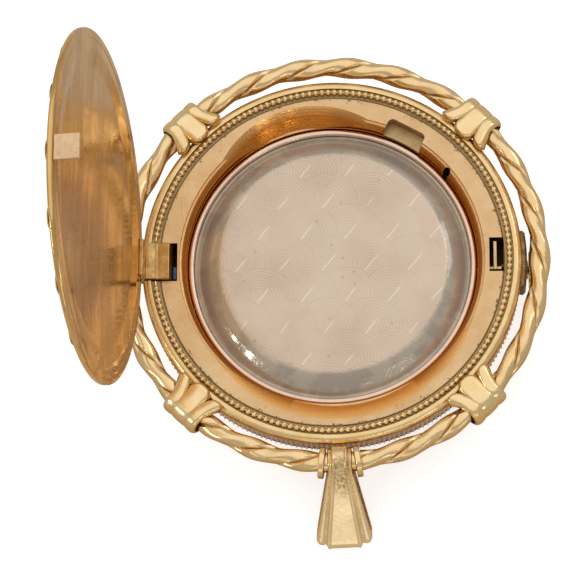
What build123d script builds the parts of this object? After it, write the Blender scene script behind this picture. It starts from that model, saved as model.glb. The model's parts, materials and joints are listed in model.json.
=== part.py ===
from build123d import *
import os
from math import asin, atan2, ceil, cos, degrees, radians, sin

# A pendant watch lying on its crystal, seen from the back with the hinged back cover open.
# Millimetres. The origin is the middle of the crystal's face, +Z points to the back cover,
# the cover's hinge is at -X, its catch and the crown are at +X, and the bail is at -Y.
# Radii follow outwards from the capsule, and heights upwards from the crystal.

# Capsule that holds the movement
capsule_r = 12.72
capsule_wall = 0.55
plate_play = 0.07
movement_r = capsule_r - capsule_wall - plate_play

# Crystal
crystal_lap = 0.03
crystal_r = capsule_r + crystal_lap
crystal_thick = 1.0

# Dial and hands
hand_thick = 0.1
minute_hand_rise, hour_hand_rise, dial_rise = 0.6, 0.32, 0.33
minute_hand_z = crystal_thick + minute_hand_rise
hour_hand_z = minute_hand_z + hour_hand_rise
dial_low_z = hour_hand_z + dial_rise
dial_thick = 0.25
dial_hole_r = 0.95
marker_ring_share, marker_long_share = 0.818, 0.132
marker_wide, marker_tall = 0.4, 0.12
marker_count = 12
hour_hand_share, minute_hand_share = 0.52, 0.769
hand_wide = 0.8
hand_tip_wide = 0.25
hand_tail = 1.6
hour_angle, minute_angle = 40.0, 150.0

# Motion work and setting levers between the dial and the mainplate
motion_gap, motion_step, motion_play = 0.1, 0.2, 0.03
motion_thick = 0.12
motion_low_z = dial_low_z + dial_thick + motion_gap
motion_high_z = motion_low_z + motion_step
minute_leaves, minute_teeth, pinion_leaves, hour_teeth = 8, 24, 6, 24
motion_share = 0.182
motion_angle = -25.0
setting_teeth = 16
setting_angle = 18.0
hour_pipe_r, hour_pipe_bore_r = 0.72, 0.52
cannon_r = 0.46
stud_r = 0.16
lever_drop = 0.3
lever_long_share, lever_reach_angle = 0.182, 118.0
yoke_long_share, yoke_reach_angle = 0.2975, 194.0
lever_at_share, yoke_at_share = (0.825, -0.171), (0.835, 0.181)
lever_shares = ((-0.15, 0.0), (0.0, 0.16), (1.0, 0.08), (1.0, -0.08), (0.0, -0.16))

# Movement plates and bridges
plate_thick = 0.8
plate_low_z = motion_high_z + motion_thick + motion_play
plate_top_z = plate_low_z + plate_thick
train_room = 1.0
bridge_thick = 0.4
bridge_low_z = plate_top_z + train_room
bridge_top_z = bridge_low_z + bridge_thick
pillar_r = 0.75
pillar_clear = 0.3
pillar_sides = 8
arbor_r = 0.16
arbor_sides = 6
train_play = 0.05
hub_r = 0.32

# Going train: teeth, centre distances and the rises of its wheels over the mainplate
barrel_teeth, centre_leaves, barrel_share = 48, 6, 0.465
centre_teeth, third_leaves, centre_share = 48, 6, 0.335
third_teeth, fourth_leaves, third_share = 45, 6, 0.273
fourth_teeth, escape_leaves, fourth_share = 60, 6, 0.252
barrel_angle, third_angle, fourth_angle, escape_angle = 70.2, 200.0, 290.0, 340.0
tooth_top_share, tooth_foot_share = 0.45, 0.6
wheel_thick = 0.13
centre_rise, third_rise, fourth_rise, escape_rise = 0.61, 0.1, 0.37, 0.65
centre_pinion_rise, third_pinion_rise = (0.05, 0.45), (0.55, 0.85)
fourth_pinion_rise, escape_pinion_rise = (0.05, 0.27), (0.33, 0.55)
barrel_rise, barrel_tall = 0.05, 0.46
barrel_wall = 0.12
barrel_bore_share = 0.9
mainspring_turns = 3
mainspring_strip = 0.14
spring_steps = 10

# Escapement and balance
escape_teeth, escape_r_share, escape_root_share = 15, 0.153, 0.8
pallet_share, pallet_angle = 0.215, -10.0
fork_drop, fork_thick = 0.15, 0.1
fork_shares = ((0.55, 0.55), (0.45, 0.55), (0.0, 0.12), (-0.8, 0.06), (-0.8, -0.06), (0.0, -0.12),
               (0.45, -0.55), (0.55, -0.55), (0.12, 0.0))
balance_share, balance_angle = 0.277, 17.0
balance_r_share = 0.248
balance_rim = 0.35
balance_rise, balance_thick = 0.33, 0.28
balance_arm_angle = 30.0
hairspring_rise = 0.06
hairspring_turns = 3
hairspring_share = 0.5
hairspring_strip = 0.06

# Bridge pillars, as angles about the wheel that each stands beside
barrel_pillar_angles = (165.0, 15.0)
third_pillar_angle, fourth_pillar_angle = 200.0, 250.0
cock_pillar_angle = 12.0
pallet_pillar_share, pallet_pillar_angle = 0.281, -80.0

# Winding and setting work
winding_teeth, winding_share = 12, 0.0785
winding_span_share = (0.636, 0.7025)
crown_wheel_teeth, ratchet_teeth = 30, 40
crown_wheel_angle = -40.0
crown_wheel_play, ratchet_play, ratchet_thick = 0.07, 0.05, 0.16
ratchet_low_z = bridge_top_z + ratchet_play
winding_top_z = ratchet_low_z + ratchet_thick
sliding_span_share, sliding_share = (0.566, 0.624), 0.062
click_r, click_long = 0.42, 1.45

# Back of the capsule, over the movement
back_clear = 0.14
back_play = 0.03
back_thick = 0.1
back_seat_z = winding_top_z + back_clear + back_thick
back_ledge, back_slope_run = 0.15, 1.89
back_rise = 1.3
back_shell = 0.2
capsule_rim = 0.4
capsule_rim_z = back_seat_z + capsule_rim

# Flat seat ring that the closed cover rests on, with its cuts
seat_play = 0.13
seat_bore_r = capsule_r + seat_play
seat_wide = 2.27
seat_r = seat_bore_r + seat_wide
seat_thick = 1.4
seat_lift = 0.05
seat_low_z = capsule_rim_z + seat_lift
seat_top_z = seat_low_z + seat_thick
scoop_at_share = (-0.121, 0.422)
scoop_top_share, scoop_foot_share = 0.71, 0.582
notch_angle = 61.0
notch_wide = 3.6
notch_reach = 1.25
notch_deep = 1.2
latch_wall, latch_slot_deep = 0.06, 1.26
latch_slot_out_x = seat_r - latch_wall
latch_slot_in_x = latch_slot_out_x - latch_slot_deep
latch_slot_wide = 3.1
latch_slot_y = 0.3
vent_r = 0.3
vent_in = 0.17
vent_angle = 38.8

# Reeded band round the middle of the case
seat_fit = 0.08
band_bore_r = seat_r + seat_fit
band_wall = 1.4
band_tip_r = band_bore_r + band_wall
reed_depth = 0.2
reed_count = 90
band_drop, band_tall = 0.45, 2.4
band_top_z = seat_top_z - band_drop
body_top_z = band_top_z - band_tall

# Case body, a turned bowl whose bore holds the crystal and the capsule
rim_lift = 0.2
flank_in, flank_slope = 0.18, 1.62
flank_r = band_tip_r - flank_in
foot_r = flank_r - flank_slope
capsule_fit = 0.06
case_bore_r = capsule_r + capsule_fit

# Back bezel with the groove for the beaded wire
bezel_out = 0.08
bezel_r = band_tip_r + bezel_out
bezel_fit = 0.03
bezel_bore_r = seat_r + bezel_fit
bezel_tall, bezel_slope = 0.7, 0.38
bezel_top_z = band_top_z + bezel_tall
bezel_top_r = bezel_r - bezel_slope
groove_wide, groove_deep = 0.77, 0.3
groove_r = bezel_bore_r + groove_wide
groove_z = bezel_top_z - groove_deep

# Beaded wire
bead_in = 0.42
bead_ring_r = bezel_bore_r + bead_in
bead_count = 176
bead_wide = 0.56
bead_tall = 0.6
bead_neck_share = 0.5

# Hinge of the back cover
hinge_in, hinge_rise = 0.69, 0.06
hinge_x, hinge_z = hinge_in - bezel_r, band_top_z + hinge_rise
hinge_pin_r = 0.25
hinge_pin_long = 5.0
hinge_play = 0.05
hinge_fit = 0.02
knuckle_r = 1.0
knuckle_wide = 3.3
knuckle_gap = 0.1
heel_reach = 1.93
heel_thick = 1.1
heel_angle = 13.0
pocket_deep = 1.57
pocket_inner_x = pocket_deep - seat_r
pocket_rise = 0.4
pocket_floor_z = body_top_z + pocket_rise
leaf_reach = 1.3
leaf_thick = 0.35
cover_open = 98.7

# Back cover
cover_inset = 0.07
cover_r = seat_r - cover_inset
cover_rise = 0.05
cover_face_z = seat_top_z + cover_rise
cover_rim = 0.5
cover_bevel_run, cover_bevel = 0.45, 0.2
cover_land = 2.45
cover_step = 0.22
cover_step_run = 0.3
tab_play, tab_thick = 0.14, 0.37
tab_out_x = latch_slot_out_x - tab_play
tab_in_x = tab_out_x - tab_thick
tab_wide = 2.2
tab_long = 2.2
leaf_ornament_count = 16
ornament_in = 1.45
ornament_long, ornament_wide, ornament_tall = 2.1, 1.2, 0.22

# Catch spring and push piece of the cover
catch_play, catch_thick = 0.1, 0.3
catch_out_x = tab_in_x - catch_play
catch_in_x = catch_out_x - catch_thick
catch_wide = 2.6
catch_drop = 0.25
catch_foot_run = 0.55
catch_foot_long = 3.2
catch_foot_thick = 0.2
push_travel = 0.35
push_stand = 0.5
push_r = band_tip_r + push_stand
push_thick = 0.6
push_wide = 5.4
push_low_gap, push_top_gap = 0.05, 0.1
push_low_z, push_high_z = body_top_z + push_low_gap, band_top_z - push_top_gap
push_ribs = 11
push_rib_deep = 0.08
push_stem_r = 0.28
push_stem_rise = 0.35
push_stem_z = body_top_z + push_stem_rise
push_play = 0.06

# Lift spring that throws the cover open
lift_in = 1.02
lift_spring_r = seat_r - lift_in
lift_spring_thick = 0.22
lift_rise, lift_tall = 0.15, 0.85
lift_low_z = body_top_z + lift_rise
lift_high_z = lift_low_z + lift_tall
lift_start, lift_foot, lift_end = 187.0, 241.0, 246.0
lift_foot_half = 0.55
lift_head_gap, lift_head_thick = 0.05, 0.34
lift_head_out_x = pocket_inner_x - lift_head_gap
lift_head_in_x = lift_head_out_x - lift_head_thick
lift_head_y = -0.9
lift_head_wide = 1.2
lift_head_clear = 0.1
lift_head_top_z = cover_face_z - leaf_thick - lift_head_clear

# Twisted wire frame, its collars and pin
rope_lobe = 1.0
rope_waist = 0.62
rope_side = 0.87
rope_gap, rope_drop = 0.52, 0.1
rope_r, rope_z = bezel_r + rope_gap + rope_lobe, band_top_z - rope_drop
rope_bumps = 26
rope_stations_per_bump = 3.5
bail_angle = -87.9
collar_r = 1.37
collar_thick = 0.5
collar_off = 1.57
collar_tilt = 8.0
rope_end_off = 1.92
bail_pin_r = 0.85

# Shell clasps that hold the wire frame to the case
clasp_angles = (45.0, 135.0, 226.6, 315.3)
clasp_gap = 0.06
clasp_thick = 0.38
clasp_inner_half = 2.55
clasp_waist_half = 1.45
clasp_lobe = 0.3
clasp_lap = 0.15
clasp_tip_r = bezel_top_r - clasp_lap
clasp_ridge_shares = ((-1.0, 0.0), (-0.66, 0.9), (-0.33, 0.1), (0.0, 1.0), (0.33, 0.1), (0.66, 0.9),
                      (1.0, 0.0))
clasp_wrap_shares = ((115, 0.6, 0.8), (85, 0.3, 0.7), (50, 0.0, 0.4), (10, 0.0, 0.3), (-30, 0.0, 0.3),
                     (-75, 0.0, 0.3), (-125, 0.0, 0.3))

# Bail
bail_play = 0.1
bail_strap = 0.5
bail_long = 8.1
bail_flange_short = 0.45
bail_end_half = 1.35
bail_raise = 0.25
bail_corner = 0.3
bail_narrow_half, bail_wide_half = 0.95, 2.35
bail_neck = 0.6
panel_start = 0.3
panel_narrow_half, panel_wide_half = 0.55, 1.55
bail_hang = 43.5

# Crown, stem and pendant tube
stem_z = plate_top_z
stem_r = 0.33
stem_in_share = 0.529
stem_play = 0.04
tube_r = 0.82
tube_clear, tube_stand = 0.17, 0.6
tube_in_x, tube_out_x = case_bore_r + tube_clear, band_tip_r + tube_stand
crown_gap, crown_long = 0.05, 1.5
crown_in_x = tube_out_x + crown_gap
crown_r = 1.6
crown_flutes = 24
crown_flute_deep = 0.14
crown_cap = 0.2

half = 0.5
cut_over = 1.0

def at_angle(radius, angle, z=0.0):
    """Point at a radius and an angle in degrees about the case axis."""
    return (radius * cos(radians(angle)), radius * sin(radians(angle)), z)


def turned(outline):
    """Piece turned about Z from (radius, height) points."""
    face = make_face(Polyline(*[(r, 0, z) for r, z in outline], close=True))
    return revolve(face, Axis.Z)


def disc(radius, low, high, at=(0, 0)):
    """Round piece standing on the plane at height low."""
    return Pos(at[0], at[1], (low + high) * half) * Cylinder(radius, high - low)


def rod_x(radius, start, end, y, z):
    """Round piece lying along X."""
    return Pos((start + end) * half, y, z) * Rot(Y=90) * Cylinder(radius, end - start)


def block(x_span, y_span, z_span):
    """Block given by its limits along each axis."""
    spans = (x_span, y_span, z_span)
    middle = [(low + high) * half for low, high in spans]
    return Pos(*middle) * Box(*[high - low for low, high in spans])


def sheet(points, low, high):
    """Flat piece cut to an outline of (x, y) points."""
    face = make_face(Polyline(*[(x, y, low) for x, y in points], close=True))
    return extrude(face, high - low, dir=(0, 0, 1))


def star(tip_r, root_r, teeth, low, high):
    """Toothed piece with pointed teeth, round its own axis."""
    points = []
    for index in range(teeth):
        turn = 360 * index / teeth
        points += [at_angle(tip_r, turn)[:2], at_angle(root_r, turn + 180 / teeth)[:2]]
    return sheet(points, low, high)


def gear(pitch_r, teeth, low, high):
    """Wheel or pinion of a pitch radius, its teeth sized by the module."""
    module = 2 * pitch_r / teeth
    return star(pitch_r + module * tooth_top_share, pitch_r - module * tooth_foot_share, teeth, low, high)


def post(radius, sides, low, high, at=(0, 0)):
    """Post with flat sides."""
    corners = [at_angle(radius, 360 * index / sides) for index in range(sides)]
    return sheet([(at[0] + x, at[1] + y) for x, y, _ in corners], low, high)


def sector(inner_r, outer_r, start, end, low, high):
    """Part of a flat ring between two angles in degrees."""
    middle = (start + end) * half
    rim = [at_angle(outer_r, start, low), at_angle(outer_r, middle, low), at_angle(outer_r, end, low)]
    bore = [at_angle(inner_r, end, low), at_angle(inner_r, middle, low), at_angle(inner_r, start, low)]
    edges = [ThreePointArc(*rim), Line(rim[2], bore[0]), ThreePointArc(*bore), Line(bore[2], rim[0])]
    return extrude(make_face(edges), high - low, dir=(0, 0, 1))


def facet(points):
    """Flat face through a few points."""
    return Face(Wire.make_polygon([Vector(*point) for point in points], close=True))


def skin(rings, closed=False):
    """Solid with flat facets through a row of matching outlines."""
    faces = []
    count = len(rings)
    for index in range(count if closed else count - 1):
        here, there = rings[index], rings[(index + 1) % count]
        for side in range(len(here)):
            after = (side + 1) % len(here)
            faces.append(facet([here[side], here[after], there[after]]))
            faces.append(facet([here[side], there[after], there[side]]))
    if not closed:
        faces += [facet(rings[0]), facet(rings[-1])]
    return Solid(Shell(faces))


def make_case_body():
    """Turned bowl, bored for the crystal and the capsule, with a hole for the pendant tube."""
    bowl = turned([(case_bore_r, rim_lift), (foot_r, rim_lift), (flank_r, body_top_z),
                   (case_bore_r, body_top_z)])
    return bowl - rod_x(tube_r + stem_play, 0, push_r, 0, stem_z)


def make_crystal():
    """Flat crystal whose outer face is the watch's foot."""
    return disc(crystal_r, 0, crystal_thick)


def hinge_pocket():
    """Space for the cover's knuckle, open at the top and the outside."""
    side = knuckle_wide * half + knuckle_gap
    return block((-push_r, pocket_inner_x), (-side, side), (pocket_floor_z, bezel_top_z + cut_over))


def hinge_bore(radius):
    """Round space or pin along the hinge axis."""
    return Pos(hinge_x, 0, hinge_z) * Rot(X=90) * Cylinder(radius, hinge_pin_long)


def make_reeded_band():
    """Reeded middle of the case, with the hinge pocket and the push piece's recess."""
    band = star(band_tip_r, band_tip_r - reed_depth, reed_count, body_top_z, band_top_z)
    band -= disc(band_bore_r, body_top_z - cut_over, band_top_z + cut_over)
    reach = degrees(asin((push_wide * half + push_play) / push_r))
    recess = sector(push_r - push_thick - push_travel - push_play, push_r + push_play, -reach, reach,
                    body_top_z, band_top_z)
    stem_hole = rod_x(push_stem_r + push_play, seat_bore_r, push_r, 0, push_stem_z)
    return band - hinge_pocket() - recess - stem_hole - hinge_bore(hinge_pin_r + hinge_fit)


def make_back_bezel():
    """Polished ring with a sloped shoulder and a groove for the beaded wire."""
    ring = turned([(bezel_bore_r, band_top_z), (bezel_r, band_top_z), (bezel_top_r, bezel_top_z),
                   (groove_r, bezel_top_z), (groove_r, groove_z), (bezel_bore_r, groove_z)])
    return ring - hinge_pocket() - hinge_bore(hinge_pin_r + hinge_fit)


def make_beaded_wire():
    """Wire rolled into a row of beads, cut away at the hinge."""
    clear = degrees(asin((knuckle_wide * half + knuckle_gap) / bead_ring_r))
    pitch = 360 / bead_count
    kept = bead_count - 2 * ceil(clear / pitch)
    start = 180 + (bead_count - kept) * half * pitch
    wide, tall = bead_wide * half, bead_tall * bead_neck_share
    tops = []
    for index in range(2 * kept + 1):
        tops.append((start + pitch * index * half, bead_tall if index % 2 else tall))
    feet = tops[::2]
    inner = [at_angle(bead_ring_r - wide, angle, groove_z) for angle, _ in feet]
    outer = [at_angle(bead_ring_r + wide, angle, groove_z) for angle, _ in feet]
    ridge = [at_angle(bead_ring_r, angle, groove_z + rise) for angle, rise in tops]
    faces = [facet([inner[0], ridge[0], outer[0]]), facet([inner[-1], ridge[-1], outer[-1]])]
    for index in range(kept):
        neck, bead, after = ridge[2 * index:2 * index + 3]
        for foot in (inner, outer):
            faces.append(facet([foot[index], neck, bead]))
            faces.append(facet([foot[index], bead, foot[index + 1]]))
            faces.append(facet([foot[index + 1], bead, after]))
        faces.append(facet([inner[index], inner[index + 1], outer[index + 1], outer[index]]))
    return Solid(Shell(faces))


def make_seat_ring():
    """Flat ring under the cover, with the thumb scoop, the knife notch and the catch slot."""
    ring = turned([(seat_bore_r, seat_low_z), (seat_r, seat_low_z), (seat_r, seat_top_z),
                   (seat_bore_r, seat_top_z)])
    scoop_x, scoop_y = [share * capsule_r for share in scoop_at_share]
    scoop = Cone(scoop_foot_share * capsule_r, scoop_top_share * capsule_r, seat_thick)
    scoop = Pos(scoop_x, scoop_y, (seat_low_z + seat_top_z) * half) * scoop
    notch = block((seat_bore_r - notch_wide, seat_bore_r + notch_reach),
                  (-notch_wide * half, notch_wide * half), (seat_top_z - notch_deep, seat_top_z + cut_over))
    slot = block((latch_slot_in_x, latch_slot_out_x),
                 (latch_slot_y - latch_slot_wide * half, latch_slot_y + latch_slot_wide * half),
                 (seat_low_z - cut_over, seat_top_z + cut_over))
    vent = disc(vent_r, seat_low_z - cut_over, seat_top_z + cut_over,
                at_angle(seat_bore_r + vent_in, vent_angle))
    return ring - scoop - Rot(Z=notch_angle) * notch - slot - vent - hinge_pocket()


def in_opening(piece):
    """Swing a piece of the cover from closed to open about the hinge."""
    return piece.rotate(Axis((hinge_x, 0, hinge_z), (0, -1, 0)), cover_open)


def make_cover():
    """Back cover: sloped at its outer edge and sunk inside, drawn closed and swung open."""
    edge_z = cover_face_z + cover_rim
    land_r = cover_r - cover_land
    cover = turned([(0, cover_face_z + cover_step), (land_r - cover_step_run, cover_face_z + cover_step),
                    (land_r, cover_face_z), (cover_r, cover_face_z), (cover_r, edge_z),
                    (cover_r - cover_bevel_run, edge_z + cover_bevel), (0, edge_z + cover_bevel)])
    return in_opening(cover)


def make_cover_knuckle():
    """Hinge knuckle with its leaf on the cover and the heel that the lift spring pushes."""
    wide = knuckle_wide * half
    barrel = Pos(hinge_x, 0, hinge_z) * Rot(X=90) * Cylinder(knuckle_r, knuckle_wide)
    heel = Pos(heel_reach * half, 0, 0) * Box(heel_reach, knuckle_wide, heel_thick)
    heel = Pos(hinge_x, 0, hinge_z) * Rot(Y=cover_open - heel_angle) * heel
    leaf = block((hinge_x, leaf_reach - cover_r), (-wide, wide),
                 (cover_face_z - leaf_thick, cover_face_z))
    return in_opening(barrel + heel + leaf - hinge_bore(hinge_pin_r + hinge_play))


def make_cover_tab():
    """Catch tab that stands on the inside of the cover at its free edge."""
    wide = tab_wide * half
    return in_opening(block((tab_in_x, tab_out_x), (-wide, wide), (cover_face_z - tab_long, cover_face_z)))


def make_cover_ornaments():
    """Row of raised leaves round the outside of the cover."""
    top_z = cover_face_z + cover_rim + cover_bevel
    leaves = []
    for index in range(leaf_ornament_count):
        corners = [(-ornament_wide, 0), (0, -ornament_long), (ornament_wide, 0), (0, ornament_long)]
        foot = [(x * half, y * half, 0) for x, y in corners]
        crown = [(x * half, y * half, ornament_tall) for x, y, _ in foot]
        turn = 360 * index / leaf_ornament_count
        leaf = Pos(*at_angle(cover_r - ornament_in, turn, top_z)) * Rot(Z=turn) * skin([foot, crown])
        leaves.append(in_opening(leaf))
    return Compound(children=leaves)


def make_catch_spring():
    """Upright strip in the catch slot, on a foot that is fixed to the case body."""
    low = latch_slot_y - catch_wide * half
    strip = block((catch_in_x, catch_out_x), (low, low + catch_wide),
                  (body_top_z, seat_top_z - catch_drop))
    foot = block((catch_in_x - catch_foot_run, catch_out_x), (low - catch_foot_long, low),
                 (body_top_z, body_top_z + catch_foot_thick))
    return strip + foot


def make_push_piece():
    """Ribbed bar on the side of the case, with the stem that presses the catch spring."""
    inner_r = push_r - push_thick
    reach = degrees(asin(push_wide * half / push_r))
    bar = sector(inner_r, push_r, -reach, reach, push_low_z, push_high_z)
    for index in range(push_ribs):
        angle = reach * (2 * (index + half) / push_ribs - 1)
        rib = Pos(*at_angle(push_r, angle, (push_low_z + push_high_z) * half)) * Rot(Z=angle + 45)
        bar -= rib * Box(push_rib_deep, push_rib_deep, push_high_z)
    tip_x = catch_out_x + push_travel + push_play
    return bar + rod_x(push_stem_r, tip_x, inner_r + push_play, 0, push_stem_z)


def make_lift_spring():
    """Blued spring in the case's hollow, its head beside the heel of the cover's knuckle."""
    outer_r = lift_spring_r + lift_spring_thick
    strip = sector(lift_spring_r, outer_r, lift_start, lift_end, lift_low_z, lift_high_z)
    head_low, head_high = lift_head_y - lift_head_wide * half, lift_head_y + lift_head_wide * half
    head = block((lift_head_in_x, lift_head_out_x), (head_low, head_high), (lift_low_z, lift_head_top_z))
    start_y = at_angle(lift_spring_r, lift_start)[1] - lift_spring_thick
    neck = block((-outer_r, lift_head_out_x), (start_y, head_low), (lift_low_z, lift_high_z))
    foot = sector(lift_spring_r - lift_foot_half, lift_spring_r + lift_foot_half, lift_foot, lift_end,
                  body_top_z, lift_high_z)
    return strip + head + neck + foot


def rope_section(angle):
    """Two-lobed section of the twisted wire at an angle round the case, in degrees."""
    points = []
    for index in range(8):
        reach = (rope_lobe, rope_side, rope_waist, rope_side)[index % 4]
        turn = radians(45 * index + angle * rope_bumps * half)
        points.append(at_angle(rope_r + reach * cos(turn), angle, rope_z + reach * sin(turn)))
    return points


def make_rope_frame():
    """Wire of two twisted lobes, bent to a ring that is open at the bail."""
    open_half = degrees(atan2(rope_end_off, rope_r))
    start, end = bail_angle + open_half, bail_angle + 360 - open_half
    steps = round(rope_bumps * rope_stations_per_bump * (end - start) / 360)
    return skin([rope_section(start + (end - start) * index / steps) for index in range(steps + 1)])


def at_bail(piece):
    """Place a piece drawn about the bail's pin, whose axis is X, on the frame's gap."""
    return Rot(Z=bail_angle + 90) * Pos(0, -rope_r, rope_z) * piece


def collar(side):
    """Collar at one end of the twisted wire, drawn about the pin."""
    tilt = Pos(side * collar_off, 0, 0) * Rot(Z=side * collar_tilt)
    return tilt * Rot(Y=90) * Cylinder(collar_r, collar_thick)


def make_bail_pin():
    """Plain pin between the collars."""
    pin = Rot(Y=90) * Cylinder(bail_pin_r, 2 * collar_off)
    return at_bail(pin - collar(1) - collar(-1))


def clasp_section(angle, radius, z, lean, half_wide, lobe):
    """Outline across a clasp at a point of its wrap: three ridges outside, flat inside."""
    outline = [(side * half_wide, clasp_thick + ridge * lobe) for side, ridge in clasp_ridge_shares]
    outline += [(half_wide, 0), (-half_wide, 0)]
    placed = []
    for side, up in outline:
        x, y, _ = at_angle(radius + up * cos(radians(lean)), angle)
        placed.append((x - side * sin(radians(angle)), y + side * cos(radians(angle)),
                       z + up * sin(radians(lean))))
    return placed


def make_clasp(angle):
    """Shell clasp: three lobes on the bezel, wrapped over and round the twisted wire."""
    wrap_r = rope_lobe + clasp_gap
    stations = [(clasp_tip_r, bezel_top_z + clasp_gap, 90, clasp_inner_half, clasp_lobe),
                (bezel_r, bezel_top_z + 2 * clasp_gap, 100, clasp_inner_half, clasp_lobe)]
    for lean, wide_share, lobe_share in clasp_wrap_shares:
        stations.append((rope_r + wrap_r * cos(radians(lean)), rope_z + wrap_r * sin(radians(lean)), lean,
                         clasp_waist_half + (clasp_inner_half - clasp_waist_half) * wide_share,
                         clasp_lobe * lobe_share))
    return skin([clasp_section(angle, *station) for station in stations])


def bail_outline(start, eye_r, far, end_half, corner):
    """Side outline of the bail's loop from the pin to its squared end."""
    return [(start, eye_r), (far - corner, end_half), (far, end_half - corner),
            (far, corner - end_half), (far - corner, -end_half), (start, -eye_r)]


def bail_solid(outline, half_wide, eye_r=0.0):
    """Loop outline pulled along the pin, with its outer round about the pin."""
    face = make_face(Polyline(*[(0, -s, t) for s, t in outline], close=True))
    piece = Pos(-half_wide, 0, 0) * extrude(face, 2 * half_wide, dir=(1, 0, 0))
    return piece + Rot(Y=90) * Cylinder(eye_r, 2 * half_wide) if eye_r else piece


def make_bail():
    """Tapered strap folded to a loop, with a raised panel between two lower flanges."""
    eye_r = bail_pin_r + bail_play
    outer_r = eye_r + bail_strap
    flange_end = bail_long - bail_flange_short
    flange_half = bail_end_half - bail_raise
    outline = bail_outline(0, outer_r, flange_end, flange_half, bail_corner)
    flange = bail_solid(outline, bail_wide_half, outer_r)
    plan = [(-bail_narrow_half, outer_r), (-bail_narrow_half, -bail_neck), (-bail_wide_half, -flange_end),
            (bail_wide_half, -flange_end), (bail_narrow_half, -bail_neck), (bail_narrow_half, outer_r)]
    flange = flange & sheet(plan, -2 * outer_r, 2 * outer_r)
    panel = bail_solid(bail_outline(panel_start, outer_r + bail_raise * half, bail_long, bail_end_half,
                                    bail_corner), panel_wide_half)
    plan = [(-panel_narrow_half, -panel_start), (-panel_wide_half, -bail_long),
            (panel_wide_half, -bail_long), (panel_narrow_half, -panel_start)]
    panel = panel & sheet(plan, -2 * outer_r, 2 * outer_r)
    hollow_end = flange_end - bail_strap
    hollow = bail_outline(0, eye_r, hollow_end, flange_half - bail_strap, bail_corner)
    loop = flange + panel - bail_solid(hollow, 2 * bail_wide_half, eye_r)
    return at_bail(Rot(X=bail_hang) * loop)


def make_crown():
    """Fluted crown with a bevelled outer edge."""
    cap_x = crown_in_x + crown_long - crown_cap
    body = star(crown_r, crown_r - crown_flute_deep, crown_flutes, crown_in_x, cap_x)
    cap = Cone(crown_r - crown_flute_deep, crown_r - 2 * crown_cap, crown_cap)
    cap = Pos(0, 0, cap_x + crown_cap * half) * cap
    return Pos(0, 0, stem_z) * Rot(Y=90) * (body + cap)


def make_stem():
    """Winding stem from the keyless work to the crown."""
    return rod_x(stem_r, stem_in_x, crown_in_x, 0, stem_z)


def make_pendant_tube():
    """Tube that guides the stem through the wall of the case."""
    bore = rod_x(stem_r + stem_play, 0, push_r + cut_over, 0, stem_z)
    return rod_x(tube_r, tube_in_x, tube_out_x, 0, stem_z) - bore


def make_capsule_cup():
    """Side wall of the capsule, standing on the crystal."""
    bore = capsule_r - capsule_wall
    wall = turned([(bore, crystal_thick), (capsule_r, crystal_thick), (capsule_r, capsule_rim_z),
                   (bore, capsule_rim_z)])
    return wall - rod_x(stem_r + 2 * stem_play, 0, push_r, 0, stem_z)


def make_capsule_back():
    """Back of the capsule: a pressed lid whose field stands over a sloped border."""
    edge_r = capsule_r - capsule_wall - back_play
    low = back_seat_z - back_thick
    foot_r, field_z = edge_r - back_ledge, back_seat_z + back_rise
    field_r = foot_r - back_slope_run
    return turned([(0, field_z - back_shell), (field_r - back_shell, field_z - back_shell),
                   (foot_r - back_shell, low), (edge_r, low), (edge_r, back_seat_z), (foot_r, back_seat_z),
                   (field_r, field_z), (0, field_z)])


def make_dial():
    """Round dial with its centre hole."""
    high = dial_low_z + dial_thick
    return disc(movement_r, dial_low_z, high) - disc(dial_hole_r, dial_low_z - cut_over, high + cut_over)


def make_dial_markers():
    """Twelve applied batons under the crystal."""
    markers = []
    start = marker_ring_share * movement_r
    for index in range(marker_count):
        wide = marker_wide * half * (2 if index % 3 == 0 else 1)
        baton = block((start, start + marker_long_share * movement_r), (-wide, wide),
                      (dial_low_z - marker_tall, dial_low_z))
        markers.append(Rot(Z=360 * index / marker_count) * baton)
    return Compound(children=markers)


def make_hand(length, top, boss_r, bore_r, angle):
    """Tapered hand on a round boss, bored where another hand's pipe goes through it."""
    outline = [(-hand_tail, hand_tip_wide * half), (0, hand_wide * half), (length, hand_tip_wide * half),
               (length, -hand_tip_wide * half), (0, -hand_wide * half), (-hand_tail, -hand_tip_wide * half)]
    hand = Rot(Z=angle) * sheet(outline, top - hand_thick, top) + disc(boss_r, top - hand_thick, top)
    return hand - disc(bore_r, top - cut_over, top + cut_over) if bore_r else hand


def beside(start, run, angle):
    """Point at a run and an angle in degrees from another point."""
    x, y, _ = at_angle(run, angle)
    return (start[0] + x, start[1] + y)


def at(place, piece):
    """Move a piece drawn about Z to a place on the mainplate."""
    return Pos(place[0], place[1], 0) * piece


def pitch_pair(run, teeth, leaves):
    """Pitch radii of a wheel and the pinion that it meshes with."""
    return run * teeth / (teeth + leaves), run * leaves / (teeth + leaves)


barrel_run, centre_run = barrel_share * movement_r, centre_share * movement_r
third_run, fourth_run = third_share * movement_r, fourth_share * movement_r
pallet_run, balance_run = pallet_share * movement_r, balance_share * movement_r
escape_r, balance_r = escape_r_share * movement_r, balance_r_share * movement_r
motion_run = motion_share * movement_r
barrel_at = beside((0, 0), barrel_run, barrel_angle)
third_at = beside((0, 0), centre_run, third_angle)
fourth_at = beside(third_at, third_run, fourth_angle)
escape_at = beside(fourth_at, fourth_run, escape_angle)
pallet_at = beside(escape_at, pallet_run, pallet_angle)
balance_at = beside(pallet_at, balance_run, balance_angle)
barrel_r, centre_pinion_r = pitch_pair(barrel_run, barrel_teeth, centre_leaves)
centre_r, third_pinion_r = pitch_pair(centre_run, centre_teeth, third_leaves)
third_r, fourth_pinion_r = pitch_pair(third_run, third_teeth, fourth_leaves)
fourth_r, escape_pinion_r = pitch_pair(fourth_run, fourth_teeth, escape_leaves)
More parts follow.
